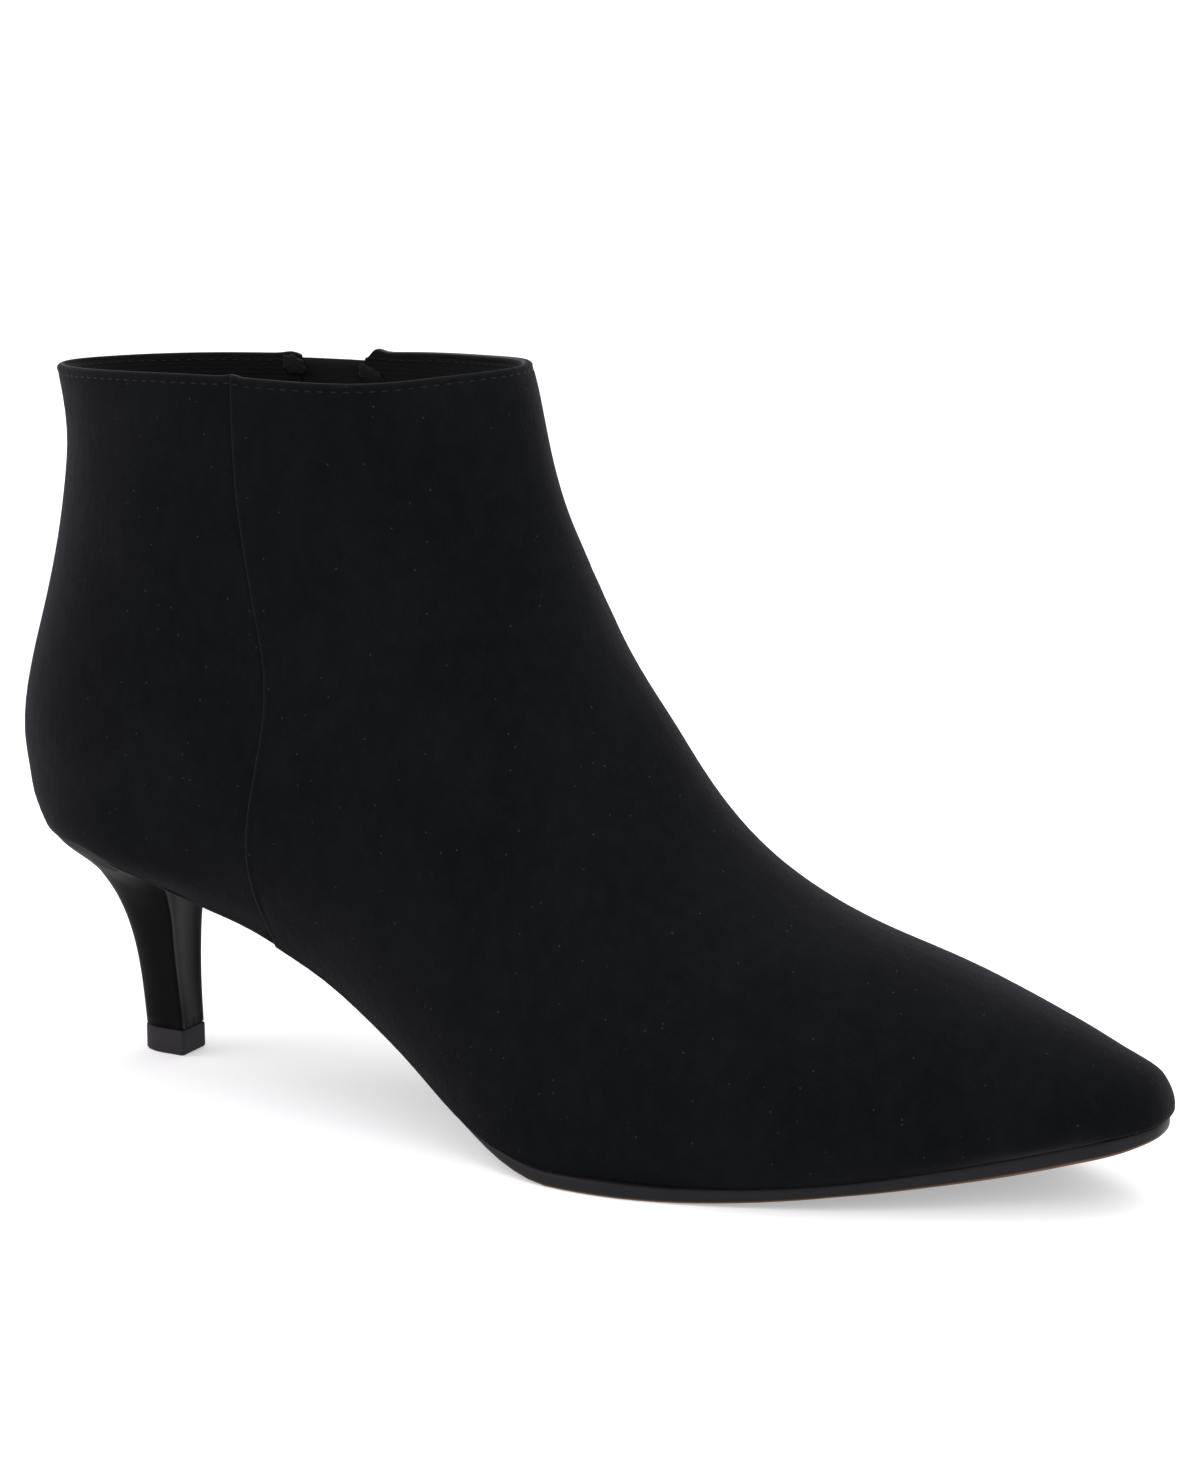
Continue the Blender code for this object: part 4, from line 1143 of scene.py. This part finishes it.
foot_rows = np.flatnonzero(~RING)[::-1]
RIM = {}                     # the suede's lower edge on each side, from the heel's back forward
for side, cut in zip((-1, 1), FOOT):
    edge_points = [wall_at(i, cut[i:i + 1])[0][0] for i in foot_rows]
    RIM[side] = np.array([(SEAT_BACK, 0.0, SEAT_HEIGHT)] + edge_points)


def rim_half(x, side):
    """Half-width of the suede's lower edge."""
    return np.interp(x, RIM[side][:, 0], np.abs(RIM[side][:, 1]))


def sole_step(x):
    """How far the sole's side stands out past the feather line, or in under the suede at the waist."""
    seat = np.clip(rim_half(x, -1) - feather(x, -1) - WAIST_TUCK, 0, None)
    waist = seat * (x < BEVEL_FULL) - WAIST_TUCK * np.clip(-joint_lift(x), 0, 1)
    return np.interp(x, STEP["x"], STEP["out"]) + waist


def sole_height(x, inset, share):
    """Height of a ring of the sole; along the waist the outer ones rise to the suede's lower edge."""
    low = np.maximum(sole_bottom(x) - np.interp(x, EASE["x"], EASE["drop"]), 0)
    plain = low + share * (sole_top(x) - low)
    bevel = ramp(x, BEVEL_END, BEVEL_FULL)
    outer = 1 - inset / SOLE_SIDE["inset"][0]
    weight = smooth(bevel) * smooth(outer)
    return plain + weight * (joint_height(x) - WAIST_SHOW * (1 - share) - plain)


def rubber_finish():
    """Black sole rubber: satin edge with faint buffing lines, finely pebbled below, brown where bare."""
    made, shader, at = new_finish("sole_rubber", Specular_IOR_Level=0.13)
    bare = at.painted("bare")
    long_way = at.mapped(Scale=(0.12, 0.12, 1.0))
    buffed = long_way.noise(0.7, 3.0)
    pebble = at.node("TexVoronoi", {"feature": "SMOOTH_F1"}, {"Vector": at, "Scale": 1 / (1.1 * MM)})
    cloudy = at.noise(9.0, 3.0)
    below = at.node("SeparateXYZ", {}, {"Vector": at.node("NewGeometry", {}, {}, 1)}, 2)
    under = 1 - below.between(-0.85, -0.5)
    rubber = (buffed * 0.5 + cloudy * 0.5).blend(grey(0.0058, 0.1), grey(0.0112, 0.1))
    feed(shader, Base_Color=(bare * 0.8).blend(rubber, (0.18, 0.094, 0.041, 1)))
    feed(shader, Roughness=0.42 + buffed * 0.14 + under * 0.2)
    relief = pebble * under * 0.8 + buffed * 0.2
    feed(shader, Normal=relief.bump(0.5, 0.12))
    return made


outsole_rings = []
bare_edge = []
for inset, share, bare in zip(*SOLE_SIDE.values()):
    least = NARROW_LEAST if inset > NARROW_FROM else 1.0
    plan = sole_outline(HEEL_BREAST + SOLE_GAP, lambda x, inset=inset, least=least:
                        sole_step(x) - inset * np.clip((LENGTH - x) / NARROW_TOE, least, 1))
    x = plan[:, 0]
    outsole_rings.append(at_height(plan, sole_height(x, inset, share)))
    bare_edge.append(bare * ramp(x, BARE_FROM, BARE_FULL))
outsole = new_piece("outsole", stacked("outsole", outsole_rings, bare_edge, "bare"), rubber_finish())
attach(outsole, "shoe")
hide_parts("outsole")


# Heel: a moulded block with a thin black wrap, satin on its sides and polished on its breast, which is
# slightly hollow. It flares up to the seat and is screwed on from inside the shoe.
HEEL = table(
    "share back_x front_x half breast",
    (0.00, 17.8, 28.9, 4.2, 4.3),
    (0.26, 16.8, 28.2, 4.8, 4.9),
    (0.49, 14.9, 27.9, 5.8, 5.7),
    (0.68, 11.0, 28.0, 7.3, 6.7),
    (0.84, 5.6, 28.3, 11.4, 8.2),
    (0.94, 1.2, 28.9, 16.2, 12.0),
    (1.00, SEAT_BACK, HEEL_BREAST, 22.0, 22.0),
)
HEEL_ROUND = 2.2             # exponent of the rounded back
HEEL_WIDEST = 0.6            # share of a section's length, from its back, where it is widest
HEEL_LEVELS = 44
HEEL_CROWD = 0.8             # exponent that crowds its rings a little towards the seat
HEEL_BLEND = 0.78            # share of its height where it starts to flare, and the flare's exponent
HEEL_SWEEP = 2.0
HEEL_POINTS = 30
SIDE_POINTS = 12
BREAST_SHINE = (1.0, 0.9, 0.25, 0.2, 0.3, 0.45, 0.55, 0.6, 0.6)  # across half of it, from its corner
BREAST_POINTS = len(BREAST_SHINE) - 2
BREAST_HOLLOW = 0.45
HOLLOW_FROM = 0.3            # share of the height over which the hollow starts
BREAST_CORNER = 0.55         # radius of the corner beside the breast, and the points round it
BREAST_TURN = 5
TIP_HEIGHT = 5.5
TIP_GAP = 0.3
CUP_INSET = table(           # how far the suede's edge stands out past the heel
    "x in",
    (SEAT_BACK, 2.2), (16, 2.2), (26, 0.8), (HEEL_BREAST, 0.5),
)
CUP = table("inset down", (0.5, 0.0), (3.5, 1.0))
heel_lines = [spline(HEEL["share"], HEEL[name]) for name in list(HEEL)[1:]]


def heel_flare(share):
    """How far the heel has opened out from its own sections to the suede's lower edge."""
    return ramp(share, HEEL_BLEND, 1) ** HEEL_SWEEP


def heel_ring(share, inset=0.0):
    """Plan of the heel at a share of its height, and how much each point belongs to the breast."""
    back, front, half, breast = (float(line(share)) for line in heel_lines)
    back, front, half, breast = back + inset, front - inset, half - inset, breast - inset
    widest = back + HEEL_WIDEST * (front - back)
    turn = np.linspace(math.pi / 2, 0, HEEL_POINTS)
    ahead = np.linspace(0, 1, SIDE_POINTS + 1)[1:]
    behind = np.sin(turn) ** (2 / HEEL_ROUND)
    across = np.maximum(np.cos(turn), 0) ** (2 / HEEL_ROUND)
    x = np.append(widest - (widest - back) * behind, widest + (front - widest) * ahead)
    y = np.append(half * across, half + (breast - half) * ahead ** 2)
    deep = BREAST_HOLLOW * min(share / HOLLOW_FROM, 1) * (1 - heel_flare(share))
    sides = []
    for side in (-1, 1):
        cup = np.maximum(rim_half(x, side) - np.interp(x, CUP_INSET["x"], CUP_INSET["in"]) - inset, 0)
        wide = y + heel_flare(share) * (cup - y)
        plain = x < x[-1] - BREAST_CORNER
        corner_y = np.interp(x[-1] - BREAST_CORNER, x, wide)
        angles = np.linspace(0, math.pi / 2, BREAST_TURN)
        corner_x = x[-1] - BREAST_CORNER * (1 - np.sin(angles))
        corner_wide = corner_y - BREAST_CORNER * (1 - np.cos(angles))
        front_y = np.linspace(corner_wide[-1], 0, BREAST_POINTS + 1)[1:]
        hollow = deep * (1 - (front_y / corner_wide[-1]) ** 2)
        line_x = np.concatenate([x[plain], corner_x, x[-1] - hollow])
        line_y = side * np.concatenate([wide[plain], corner_wide, front_y])
        line = np.stack([line_x, line_y], 1)
        gone = lengths_along(line)
        keep = np.count_nonzero(plain)
        even = np.concatenate([np.linspace(0, gone[keep], HEEL_POINTS)[:-1], gone[keep:]])
        sides.append(read_along(even, gone, line))
    ring = np.concatenate([sides[0], sides[1][-2:0:-1]])
    front_share = np.zeros(len(sides[0]))
    front_share[-len(BREAST_SHINE):] = np.array(BREAST_SHINE) * (1 - heel_flare(share))
    return ring, np.concatenate([front_share, front_share[-2:0:-1]])


def wrap_finish():
    """Heel wrap: black film, satin on the sides and polished on the breast, with faint lengthwise draw."""
    made, shader, at = new_finish("heel_wrap", Specular_IOR_Level=0.03, Coat_Roughness=0.1, Coat_IOR=1.25)
    breast = at.painted("breast")
    upright = at.mapped(Scale=(1.0, 1.0, 0.08))
    draw = upright.noise(1.6, 3.0)
    smudge = at.noise(7.0, 3.0)
    feed(shader, Base_Color=smudge.blend(grey(0.002, 0.1), grey(0.004, 0.1)))
    feed(shader, Roughness=0.5 - breast * 0.28 + draw * 0.10)
    feed(shader, Coat_Weight=breast * 0.5)
    feed(shader, Normal=draw.bump(0.25, 0.06))
    return made


heel_rings = []
breast_shades = []
foot = TIP_HEIGHT + TIP_GAP
for share in np.linspace(0, 1, HEEL_LEVELS) ** HEEL_CROWD:
    plan, on_breast = heel_ring(share)
    x = plan[:, 0]
    top = sole_top(x) + heel_flare(share) * np.maximum(joint_lift(x), 0)
    heel_rings.append(at_height(plan, foot + share * (top - foot)))
    breast_shades.append(on_breast)
for inset, down in zip(*CUP.values()):
    plan, on_breast = heel_ring(1.0, inset)
    x = plan[:, 0]
    lift = (1 - down) * np.maximum(joint_lift(x), 0) - down * TIP_GAP
    heel_rings.append(at_height(plan, sole_top(x) + lift))
    breast_shades.append(on_breast)
heel = new_piece("heel", stacked("heel", heel_rings, breast_shades, "breast"), wrap_finish())
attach(heel, "shoe")
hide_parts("heel")


# Heel tip: the top piece, a small block of hard dark rubber pinned under the heel, matte and a shade
# paler than the wrap. Its edges are lightly broken, and nothing is moulded into its faces.
TIP_PROUD = 0.12             # how far it stands out past the heel
TIP_PROFILE = table(
    "z inset",
    (0.0, 1.2), (0.0, 0.45), (0.12, 0.2), (0.4, 0.0), (2.8, 0.0), (5.1, 0.0), (5.4, 0.12),
    (TIP_HEIGHT, 0.4),
)


def top_piece_finish():
    """Hard rubber: matte charcoal with a fine moulded grain."""
    made, shader, at = new_finish("top_piece_rubber", Specular_IOR_Level=0.12)
    grain = at.noise(0.35, 3.0, 0.6)
    scuffs = at.noise(3.0, 4.0, 0.6)
    feed(shader, Base_Color=(grain * 0.3 + scuffs * 0.7).blend(grey(0.015, 0.1), grey(0.026, 0.1)))
    feed(shader, Roughness=0.62 + scuffs * 0.2)
    feed(shader, Normal=grain.bump(0.35, 0.08))
    return made


tip_rings = [at_height(heel_ring(0.0, inset - TIP_PROUD)[0], z) for z, inset in zip(*TIP_PROFILE.values())]
heel_tip = new_piece("heel_tip", stacked("heel_tip", tip_rings), top_piece_finish())
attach(heel_tip, "shoe")
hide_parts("heel_tip")


# Zip tape: black woven tape sewn in behind the slot. At the collar its two ends are folded back and show
# as small soft lumps on either side of the notch.
TAPE_FACE = -1.1
TAPE_THICK = 0.8
TAPE_TOP = 145.2
TAPE_BOTTOM = ZIP_END - 0.4
TAPE_LEVELS = 60
TAPE_COLUMNS = 18
TAPE_TUCK = 0.5              # how far the tape runs in behind the slot's edges
TAPE_RIB_AT = 3.3            # woven ribs beside the teeth
TAPE_RIB = 0.18
TAPE_RIB_WIDTH = 0.5
TAPE_ROUND = 0.1             # height over the slot's end where the tape is narrowest
FOLD_HALF = (2.9, 0.6, 1.8)  # half-sizes of a folded end: along the shoe, through the wall, up
FOLD_FACE = -2.5
FOLDS = table("side beside top lean", (-1, 1.6, 145.6, -0.25), (1, 1.5, 144.0, -0.4))
FOLD_SQUARE = 0.25
FOLD_UNEVEN = 0.22
FOLD_RIPPLES = (4.0, 3.1, 5.3)
FOLD_SHIFT = 3.0             # how far one end's ripples lie from the other's
FOLD_SEGMENTS = 32
FOLD_RINGS = 20
WAVE_BAND = 0.314            # width of a wave texture's band at scale 1


def tape_finish():
    """Woven tape: fine herringbone of black yarn."""
    made, shader, at = new_finish("zip_tape_cloth", Roughness=0.9, Specular_IOR_Level=0.08,
                                  Sheen_Weight=0.05)
    weft = at.node("TexWave", {"bands_direction": "Z"}, {"Vector": at, "Scale": WAVE_BAND / (0.5 * MM)})
    slant_at = at.mapped(Rotation=(0, 0.8, 0))
    warp = at.node("TexWave", {"bands_direction": "Z"},
                   {"Vector": slant_at, "Scale": WAVE_BAND / (0.7 * MM)})
    fuzz = at.noise(0.9, 3.0)
    weave = weft * 0.5 + warp * 0.3 + fuzz * 0.2
    feed(shader, Base_Color=weave.blend(grey(0.003, 0.05), grey(0.009, 0.05)))
    feed(shader, Normal=weave.bump(0.6, 0.12))
    return made


tape_layers = []
tape_share = np.linspace(-1, 1, TAPE_COLUMNS)
for face in (TAPE_FACE, TAPE_FACE - TAPE_THICK):
    for z in np.linspace(TAPE_BOTTOM, TAPE_TOP, TAPE_LEVELS):
        half = float(slot_half(max(z, ZIP_END + TAPE_ROUND))) + TAPE_TUCK
        for offset in tape_share * half:
            spot, out = inner_side(float(zip_line(z)) + offset, z)
            rib = TAPE_RIB * bell(abs(offset) - TAPE_RIB_AT, TAPE_RIB_WIDTH)
            tape_layers.append(spot + out * (face + (rib if face == TAPE_FACE else 0)))
tape_size = TAPE_LEVELS * TAPE_COLUMNS
tape_faces = grid_faces(TAPE_LEVELS, TAPE_COLUMNS)
tape_faces += [tuple(v + tape_size for v in quad) for quad in tape_faces]
tape_rim = list(range(TAPE_COLUMNS))
tape_rim += [r * TAPE_COLUMNS + TAPE_COLUMNS - 1 for r in range(1, TAPE_LEVELS)]
tape_rim += list(range(tape_size - 2, tape_size - TAPE_COLUMNS - 1, -1))
tape_rim += [r * TAPE_COLUMNS for r in range(TAPE_LEVELS - 2, 0, -1)]
tape_faces += [(a, b, b + tape_size, a + tape_size) for a, b in zip(tape_rim, tape_rim[1:] + tape_rim[:1])]
tape_mesh = bpy.data.meshes.new("zip_tape")
tape_mesh.from_pydata(in_frame(tape_layers).tolist(), [], tape_faces)
solid = bmesh.new()
solid.from_mesh(tape_mesh)
bmesh.ops.recalc_face_normals(solid, faces=solid.faces)
for side, beside, top, lean in zip(*FOLDS.values()):
    middle = top - FOLD_HALF[2]
    spot, out = inner_side(float(zip_line(middle)) + side * (SLOT_HALF + beside), middle)
    fold = bmesh.ops.create_uvsphere(solid, u_segments=FOLD_SEGMENTS, v_segments=FOLD_RINGS,
                                     radius=1.0)["verts"]
    for vertex in fold:
        ball = np.array(vertex.co)
        pad = ball + FOLD_SQUARE * (ball / np.abs(ball).max() - ball)
        along, through, up = (ball * FOLD_RIPPLES).tolist()
        ripple = math.sin(along + FOLD_SHIFT * side + up) * math.cos(up - side)
        ripple += math.sin(2 * along - up + through) / 2
        pad = pad * np.array(FOLD_HALF) * (1 + FOLD_UNEVEN * ripple / 2)
        pad[2] += lean * pad[0]
        vertex.co = in_frame(spot + out * FOLD_FACE + pad)
solid.to_mesh(tape_mesh)
solid.free()
tape_cloth = tape_finish()
zip_tape = new_piece("zip_tape", tape_mesh, tape_cloth)
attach(zip_tape, "shoe")
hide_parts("zip_tape")


# Zip teeth: two rows of moulded nylon loops sewn on the tape's edges and meshed down the middle, closed
# all the way up to the slider, with a line of sewing thread along each side.
TEETH_TOP = 142.3
TEETH_BOTTOM = 64.2
TOOTH_PITCH = 1.35
TOOTH_LENGTH = 3.0
TOOTH_WIDTH = 0.85
TOOTH_HEIGHT = 1.1
TOOTH_OFFSET = 0.95          # middle of a tooth from the zip's middle
TOOTH_FACE = -0.35
TEETH_SEAM_AT = 2.5          # sewing thread beside the teeth: from the middle, face, pitch and stitch
TEETH_SEAM_FACE = TAPE_FACE + 0.15
TEETH_SEAM_PITCH = 1.6
TEETH_SEAM_LENGTH = 1.3
TEETH_SEAM_WIDTH = 0.4
TEETH_SEAM_HEIGHT = 0.35
TEETH_SEAM_WOBBLE = 0.08
ZIP_SAMPLES = 70


def zip_run(offset, face, bottom, top):
    """Points up the zip at an offset across it, at a height over the wall, and their directions."""
    heights = np.linspace(bottom, top, ZIP_SAMPLES)
    spots, outs = zip(*[inner_side(float(zip_line(z)) + offset, z) for z in heights])
    return np.array(spots) + np.array(outs) * face, np.array(outs)


def nylon_finish():
    """Moulded nylon: black with a soft shine."""
    made, shader, at = new_finish("zip_coil", Specular_IOR_Level=0.5)
    wear = at.noise(1.2, 2.0)
    feed(shader, Base_Color=wear.blend(grey(0.012, 0.05), grey(0.028, 0.05)))
    feed(shader, Roughness=0.32 + wear * 0.16)
    return made


shift = TOOTH_PITCH / 2
teeth_runs = [zip_run(-TOOTH_OFFSET, TOOTH_FACE, TEETH_BOTTOM, TEETH_TOP - shift),
              zip_run(TOOTH_OFFSET, TOOTH_FACE, TEETH_BOTTOM + shift, TEETH_TOP)]
teeth = dash_row("zip_teeth", teeth_runs, nylon_finish(), Pitch=TOOTH_PITCH, Length=TOOTH_LENGTH,
                 Width=TOOTH_WIDTH, Height=TOOTH_HEIGHT, Turn=math.pi / 2, Wobble=0)
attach(teeth, "shoe")
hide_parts("zip_chain")
seam_runs = [zip_run(side * TEETH_SEAM_AT, TEETH_SEAM_FACE, TEETH_BOTTOM, TEETH_TOP) for side in (-1, 1)]
teeth_seams = dash_row("zip_teeth_seams", seam_runs, thread, Pitch=TEETH_SEAM_PITCH,
                       Length=TEETH_SEAM_LENGTH, Width=TEETH_SEAM_WIDTH, Height=TEETH_SEAM_HEIGHT, Turn=0,
                       Wobble=TEETH_SEAM_WOBBLE)
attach(teeth_seams, "shoe")


# Zip slider: a small die-cast body in dark plated metal that closes the teeth, with a bridge over it that
# holds the pull's pin. It stays where it is, at the top of the closed zip.
SLIDER_FOOT = 0.5
SLIDER_THICK = 2.2
SLIDER_TOP = SLIDER_FOOT + SLIDER_THICK
PIN_HEIGHT = SLIDER_TOP + 0.85
BRIDGE_WIDTH = 1.6
BRIDGE_REACH = 2.6           # half of the bridge's length, and its height over the body
BRIDGE_RISE = 2.0
BRIDGE_THICK = 0.8
BRIDGE_SUNK = 0.3            # how far its feet go down into the body
BRIDGE_SQUARE = 0.6          # exponent of its arch
BRIDGE_POINTS = 13
SLIDER_BEVEL = 0.3
BEVEL_STEPS = 3
SHARP_ANGLE = 0.6            # radians from which an edge is broken
RISE_SPAN = 4.0              # from the pin to either end of the stretch that gives the zip's direction
SLIDER_OUTLINE = table(      # half of the body's outline, from its lower end to its upper end
    "x y",
    (0.0, -4.5), (1.9, -4.5), (2.6, -4.1), (2.9, -3.2), (2.9, -1.4), (3.2, 0.4), (3.5, 2.0), (3.5, 3.4),
    (3.0, 4.2), (2.2, 4.5), (1.1, 4.5), (0.5, 4.1), (0.0, 3.9),
)

hinge = next(joint for joint in frame["joints"] if joint["name"] == "pull_hinge")
pin_spot = Vector(hinge["pos_m"])
zip_across = -Vector(hinge["axis"]).normalized()
pin_x, _, pin_z = (np.array(pin_spot) - PLACE) / MM
above_pin, below_pin = (inner_side(pin_x, pin_z + rise)[0] for rise in (RISE_SPAN, -RISE_SPAN))
zip_rise = Vector(above_pin - below_pin)
zip_rise = (zip_rise - zip_across * zip_rise.dot(zip_across)).normalized()
zip_out = zip_across.cross(zip_rise)
ZIP_PLACE = Matrix.Translation(pin_spot) @ Matrix((zip_across, zip_rise, zip_out)).transposed().to_4x4()


def ring_of(shape, outline, z):
    """New vertices of a bmesh along an outline in x and y, at a height."""
    return [shape.verts.new((x * MM, y * MM, z * MM)) for x, y in outline]


def join_rings(shape, first, second):
    """Faces between two closed rings of equal count."""
    for i in range(len(first)):
        j = (i + 1) % len(first)
        shape.faces.new((first[i], first[j], second[j], second[i]))


def metal_piece(name, shape, finish, bevel):
    """A bevelled metal piece from a bmesh in the pin's frame."""
    bmesh.ops.recalc_face_normals(shape, faces=shape.faces)
    sharp = [edge for edge in shape.edges if edge.is_manifold and edge.calc_face_angle() > SHARP_ANGLE]
    bmesh.ops.bevel(shape, geom=sharp, offset=bevel * MM, segments=BEVEL_STEPS, profile=0.5, affect="EDGES",
                    clamp_overlap=True)
    bmesh.ops.transform(shape, matrix=ZIP_PLACE, verts=shape.verts)
    return new_piece(name, mesh_of(name, shape), finish)


def plated_finish():
    """Dark plated die-cast metal, polished, with faint handling marks."""
    made, shader, at = new_finish("zip_metal", Metallic=1.0)
    marks = at.noise(1.5, 4.0, 0.6)
    feed(shader, Base_Color=marks.blend(grey(0.08), grey(0.13)))
    feed(shader, Roughness=0.2 + marks * 0.2)
    feed(shader, Normal=marks.bump(0.1, 0.05))
    return made


plated = plated_finish()
body = bmesh.new()
half_outline = list(zip(*SLIDER_OUTLINE.values()))
full_outline = half_outline + [(-x, y) for x, y in half_outline[-2:0:-1]]
bottom, top = (ring_of(body, full_outline, z - PIN_HEIGHT) for z in (SLIDER_FOOT, SLIDER_TOP))
body.faces.new(bottom[::-1])
body.faces.new(top)
join_rings(body, bottom, top)
base = SLIDER_TOP - PIN_HEIGHT - BRIDGE_SUNK
bridge = []
for turn in np.linspace(0, math.pi, BRIDGE_POINTS):
    ring = []
    for side, inset in ((-1, 0), (1, 0), (1, BRIDGE_THICK), (-1, BRIDGE_THICK)):
        y = (BRIDGE_REACH - inset) * math.cos(turn)
        z = base + (BRIDGE_RISE + BRIDGE_SUNK - inset) * math.sin(turn) ** BRIDGE_SQUARE
        ring.append(body.verts.new((side * BRIDGE_WIDTH / 2 * MM, y * MM, z * MM)))
    bridge.append(ring)
for first, second in zip(bridge, bridge[1:]):
    join_rings(body, first, second)
body.faces.new(bridge[0])
body.faces.new(bridge[-1])
slider = metal_piece("zip_slider", body, plated, SLIDER_BEVEL)
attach(slider, "shoe")
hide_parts("zip_slider")


# Pull: a slim tapered tab in the same plated metal, whose pin lies under the slider's bridge. It hangs
# down flat on the zip and swings up on the pin.
PULL_HALF = 2.8
PULL_FOOT_HALF = 2.2
PULL_LENGTH = 24.0
PULL_THICK = 1.0
PULL_PIN = 0.5
PULL_CORNER = 0.9
PULL_BEVEL = 0.18
WINDOW_HALF = 1.3            # window that leaves the pin free under the bridge
WINDOW_END = 4.8
WINDOW_CORNER = 0.4
GRIP_TOP = 8.0               # shallow panel on the tab's face
GRIP_BOTTOM = 21.5
GRIP_HALF = 1.35
GRIP_TAPER = 0.85
GRIP_FLOOR = 0.82            # share of its width that its floor has
GRIP_CORNER = 0.8
GRIP_DEPTH = 0.22
CORNER_STEPS = 5


def rounded(half_top, half_low, top, low, corner):
    """Outline of a tapered tab with rounded corners, going round from its upper right."""
    outline = []
    for x, y, start in ((half_top, top, 0), (-half_top, top, 1), (-half_low, low, 2), (half_low, low, 3)):
        cx, cy = x - math.copysign(corner, x), y + (-corner if start < 2 else corner)
        for turn in np.linspace(0, math.pi / 2, CORNER_STEPS):
            angle = start * math.pi / 2 + turn
            outline.append((cx + corner * math.cos(angle), cy + corner * math.sin(angle)))
    return outline


tab = bmesh.new()
rim = rounded(PULL_HALF, PULL_FOOT_HALF, PULL_PIN, -PULL_LENGTH, PULL_CORNER)
window = rounded(WINDOW_HALF, WINDOW_HALF, -PULL_PIN, -WINDOW_END, WINDOW_CORNER)
grip = rounded(GRIP_HALF, GRIP_HALF * GRIP_TAPER, -GRIP_TOP, -GRIP_BOTTOM, GRIP_CORNER)
grip_floor = [(x * GRIP_FLOOR, y) for x, y in grip]
tab_faces = []
for facing in (1, -1):
    z = facing * PULL_THICK / 2
    rings = [ring_of(tab, outline, z) for outline in (rim, window, grip)]
    edges = []
    for ring in rings:
        edges += [tab.edges.new((ring[i], ring[(i + 1) % len(ring)])) for i in range(len(ring))]
    bmesh.ops.triangle_fill(tab, use_beauty=True, use_dissolve=False, edges=edges)
    floor_ring = ring_of(tab, grip_floor, z - facing * GRIP_DEPTH)
    join_rings(tab, rings[2], floor_ring)
    tab.faces.new(floor_ring)
    tab_faces.append(rings)
for front_ring, back_ring in zip(tab_faces[0][:2], tab_faces[1]):
    join_rings(tab, front_ring, back_ring)
pull = metal_piece("zip_pull", tab, plated, PULL_BEVEL)
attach(pull, "pull")
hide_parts("zip_pull")


# Stage: a plain pale floor, a white surround and soft boxes, with the camera where the photograph's was.
# The camera's turn, height and distance were fitted to the shoe's outline in the photograph.
CAMERA_TURN = math.radians(26.9)
CAMERA_TILT = math.radians(12.4)
CAMERA_DISTANCE = 701.0
CAMERA_TARGET = (125.5, 0.0, 78.8)
FOCAL_PIXELS = 3580.0
PHOTO_HEIGHT = 1466
SENSOR = 36.0
FLOOR_SIZE = 60.0
FLOOR_SHADE = 0.70
FLOOR_GLOW = 0.38            # keeps the floor white as far as the camera sees

floor_mesh = bpy.data.meshes.new("floor")
reach = FLOOR_SIZE / 2
corners = [(-reach, -reach, 0), (reach, -reach, 0), (reach, reach, 0), (-reach, reach, 0)]
floor_mesh.from_pydata(corners, [], [(0, 1, 2, 3)])
floor_finish = new_finish("pale_floor", Roughness=0.9, Base_Color=grey(FLOOR_SHADE),
                          Emission_Color=grey(1.0), Emission_Strength=FLOOR_GLOW, Specular_IOR_Level=0.1)[0]
floor = new_piece("floor", floor_mesh, floor_finish)

world = bpy.data.worlds.new("white_surround")
world.use_nodes = True
world.node_tree.nodes["Background"].inputs["Color"].default_value = grey(1.0)
world.node_tree.nodes["Background"].inputs["Strength"].default_value = 1.0
bpy.context.scene.world = world


def soft_box(name, place, aim, size, power, colour=(1.0, 1.0, 1.0)):
    """A square area light at a place, turned to a point, both in metres."""
    light = bpy.data.lights.new(name, "AREA")
    light.size, light.energy = size, power
    light.color = colour
    made = new_object(name, light)
    made.location = place
    made.rotation_euler = (Vector(aim) - Vector(place)).to_track_quat("-Z", "Y").to_euler()


SHOE_MIDDLE = (0.0, 0.0, 0.07)
SIDE_COLOUR = (1.0, 0.92, 1.0)
soft_box("overhead_box", (0.1, 0.4, 1.55), SHOE_MIDDLE, 1.6, 14)
soft_box("left_box", (-1.0, -0.6, 0.9), SHOE_MIDDLE, 0.9, 6.5, SIDE_COLOUR)
soft_box("right_box", (1.0, -0.4, 0.9), SHOE_MIDDLE, 0.9, 6, SIDE_COLOUR)
bpy.context.scene.view_settings.view_transform = "Standard"

lens = bpy.data.cameras.new("photo_camera")
lens.sensor_width = SENSOR
lens.lens = FOCAL_PIXELS * SENSOR / PHOTO_HEIGHT
camera = new_object("photo_camera", lens)
level_reach = CAMERA_DISTANCE * math.cos(CAMERA_TILT)
offset = (level_reach * math.sin(CAMERA_TURN), -level_reach * math.cos(CAMERA_TURN),
          CAMERA_DISTANCE * math.sin(CAMERA_TILT))
target = Vector(in_frame(CAMERA_TARGET))
camera.location = target + Vector(offset) * MM
camera.rotation_euler = (target - camera.location).to_track_quat("-Z", "Y").to_euler()
bpy.context.scene.camera = camera
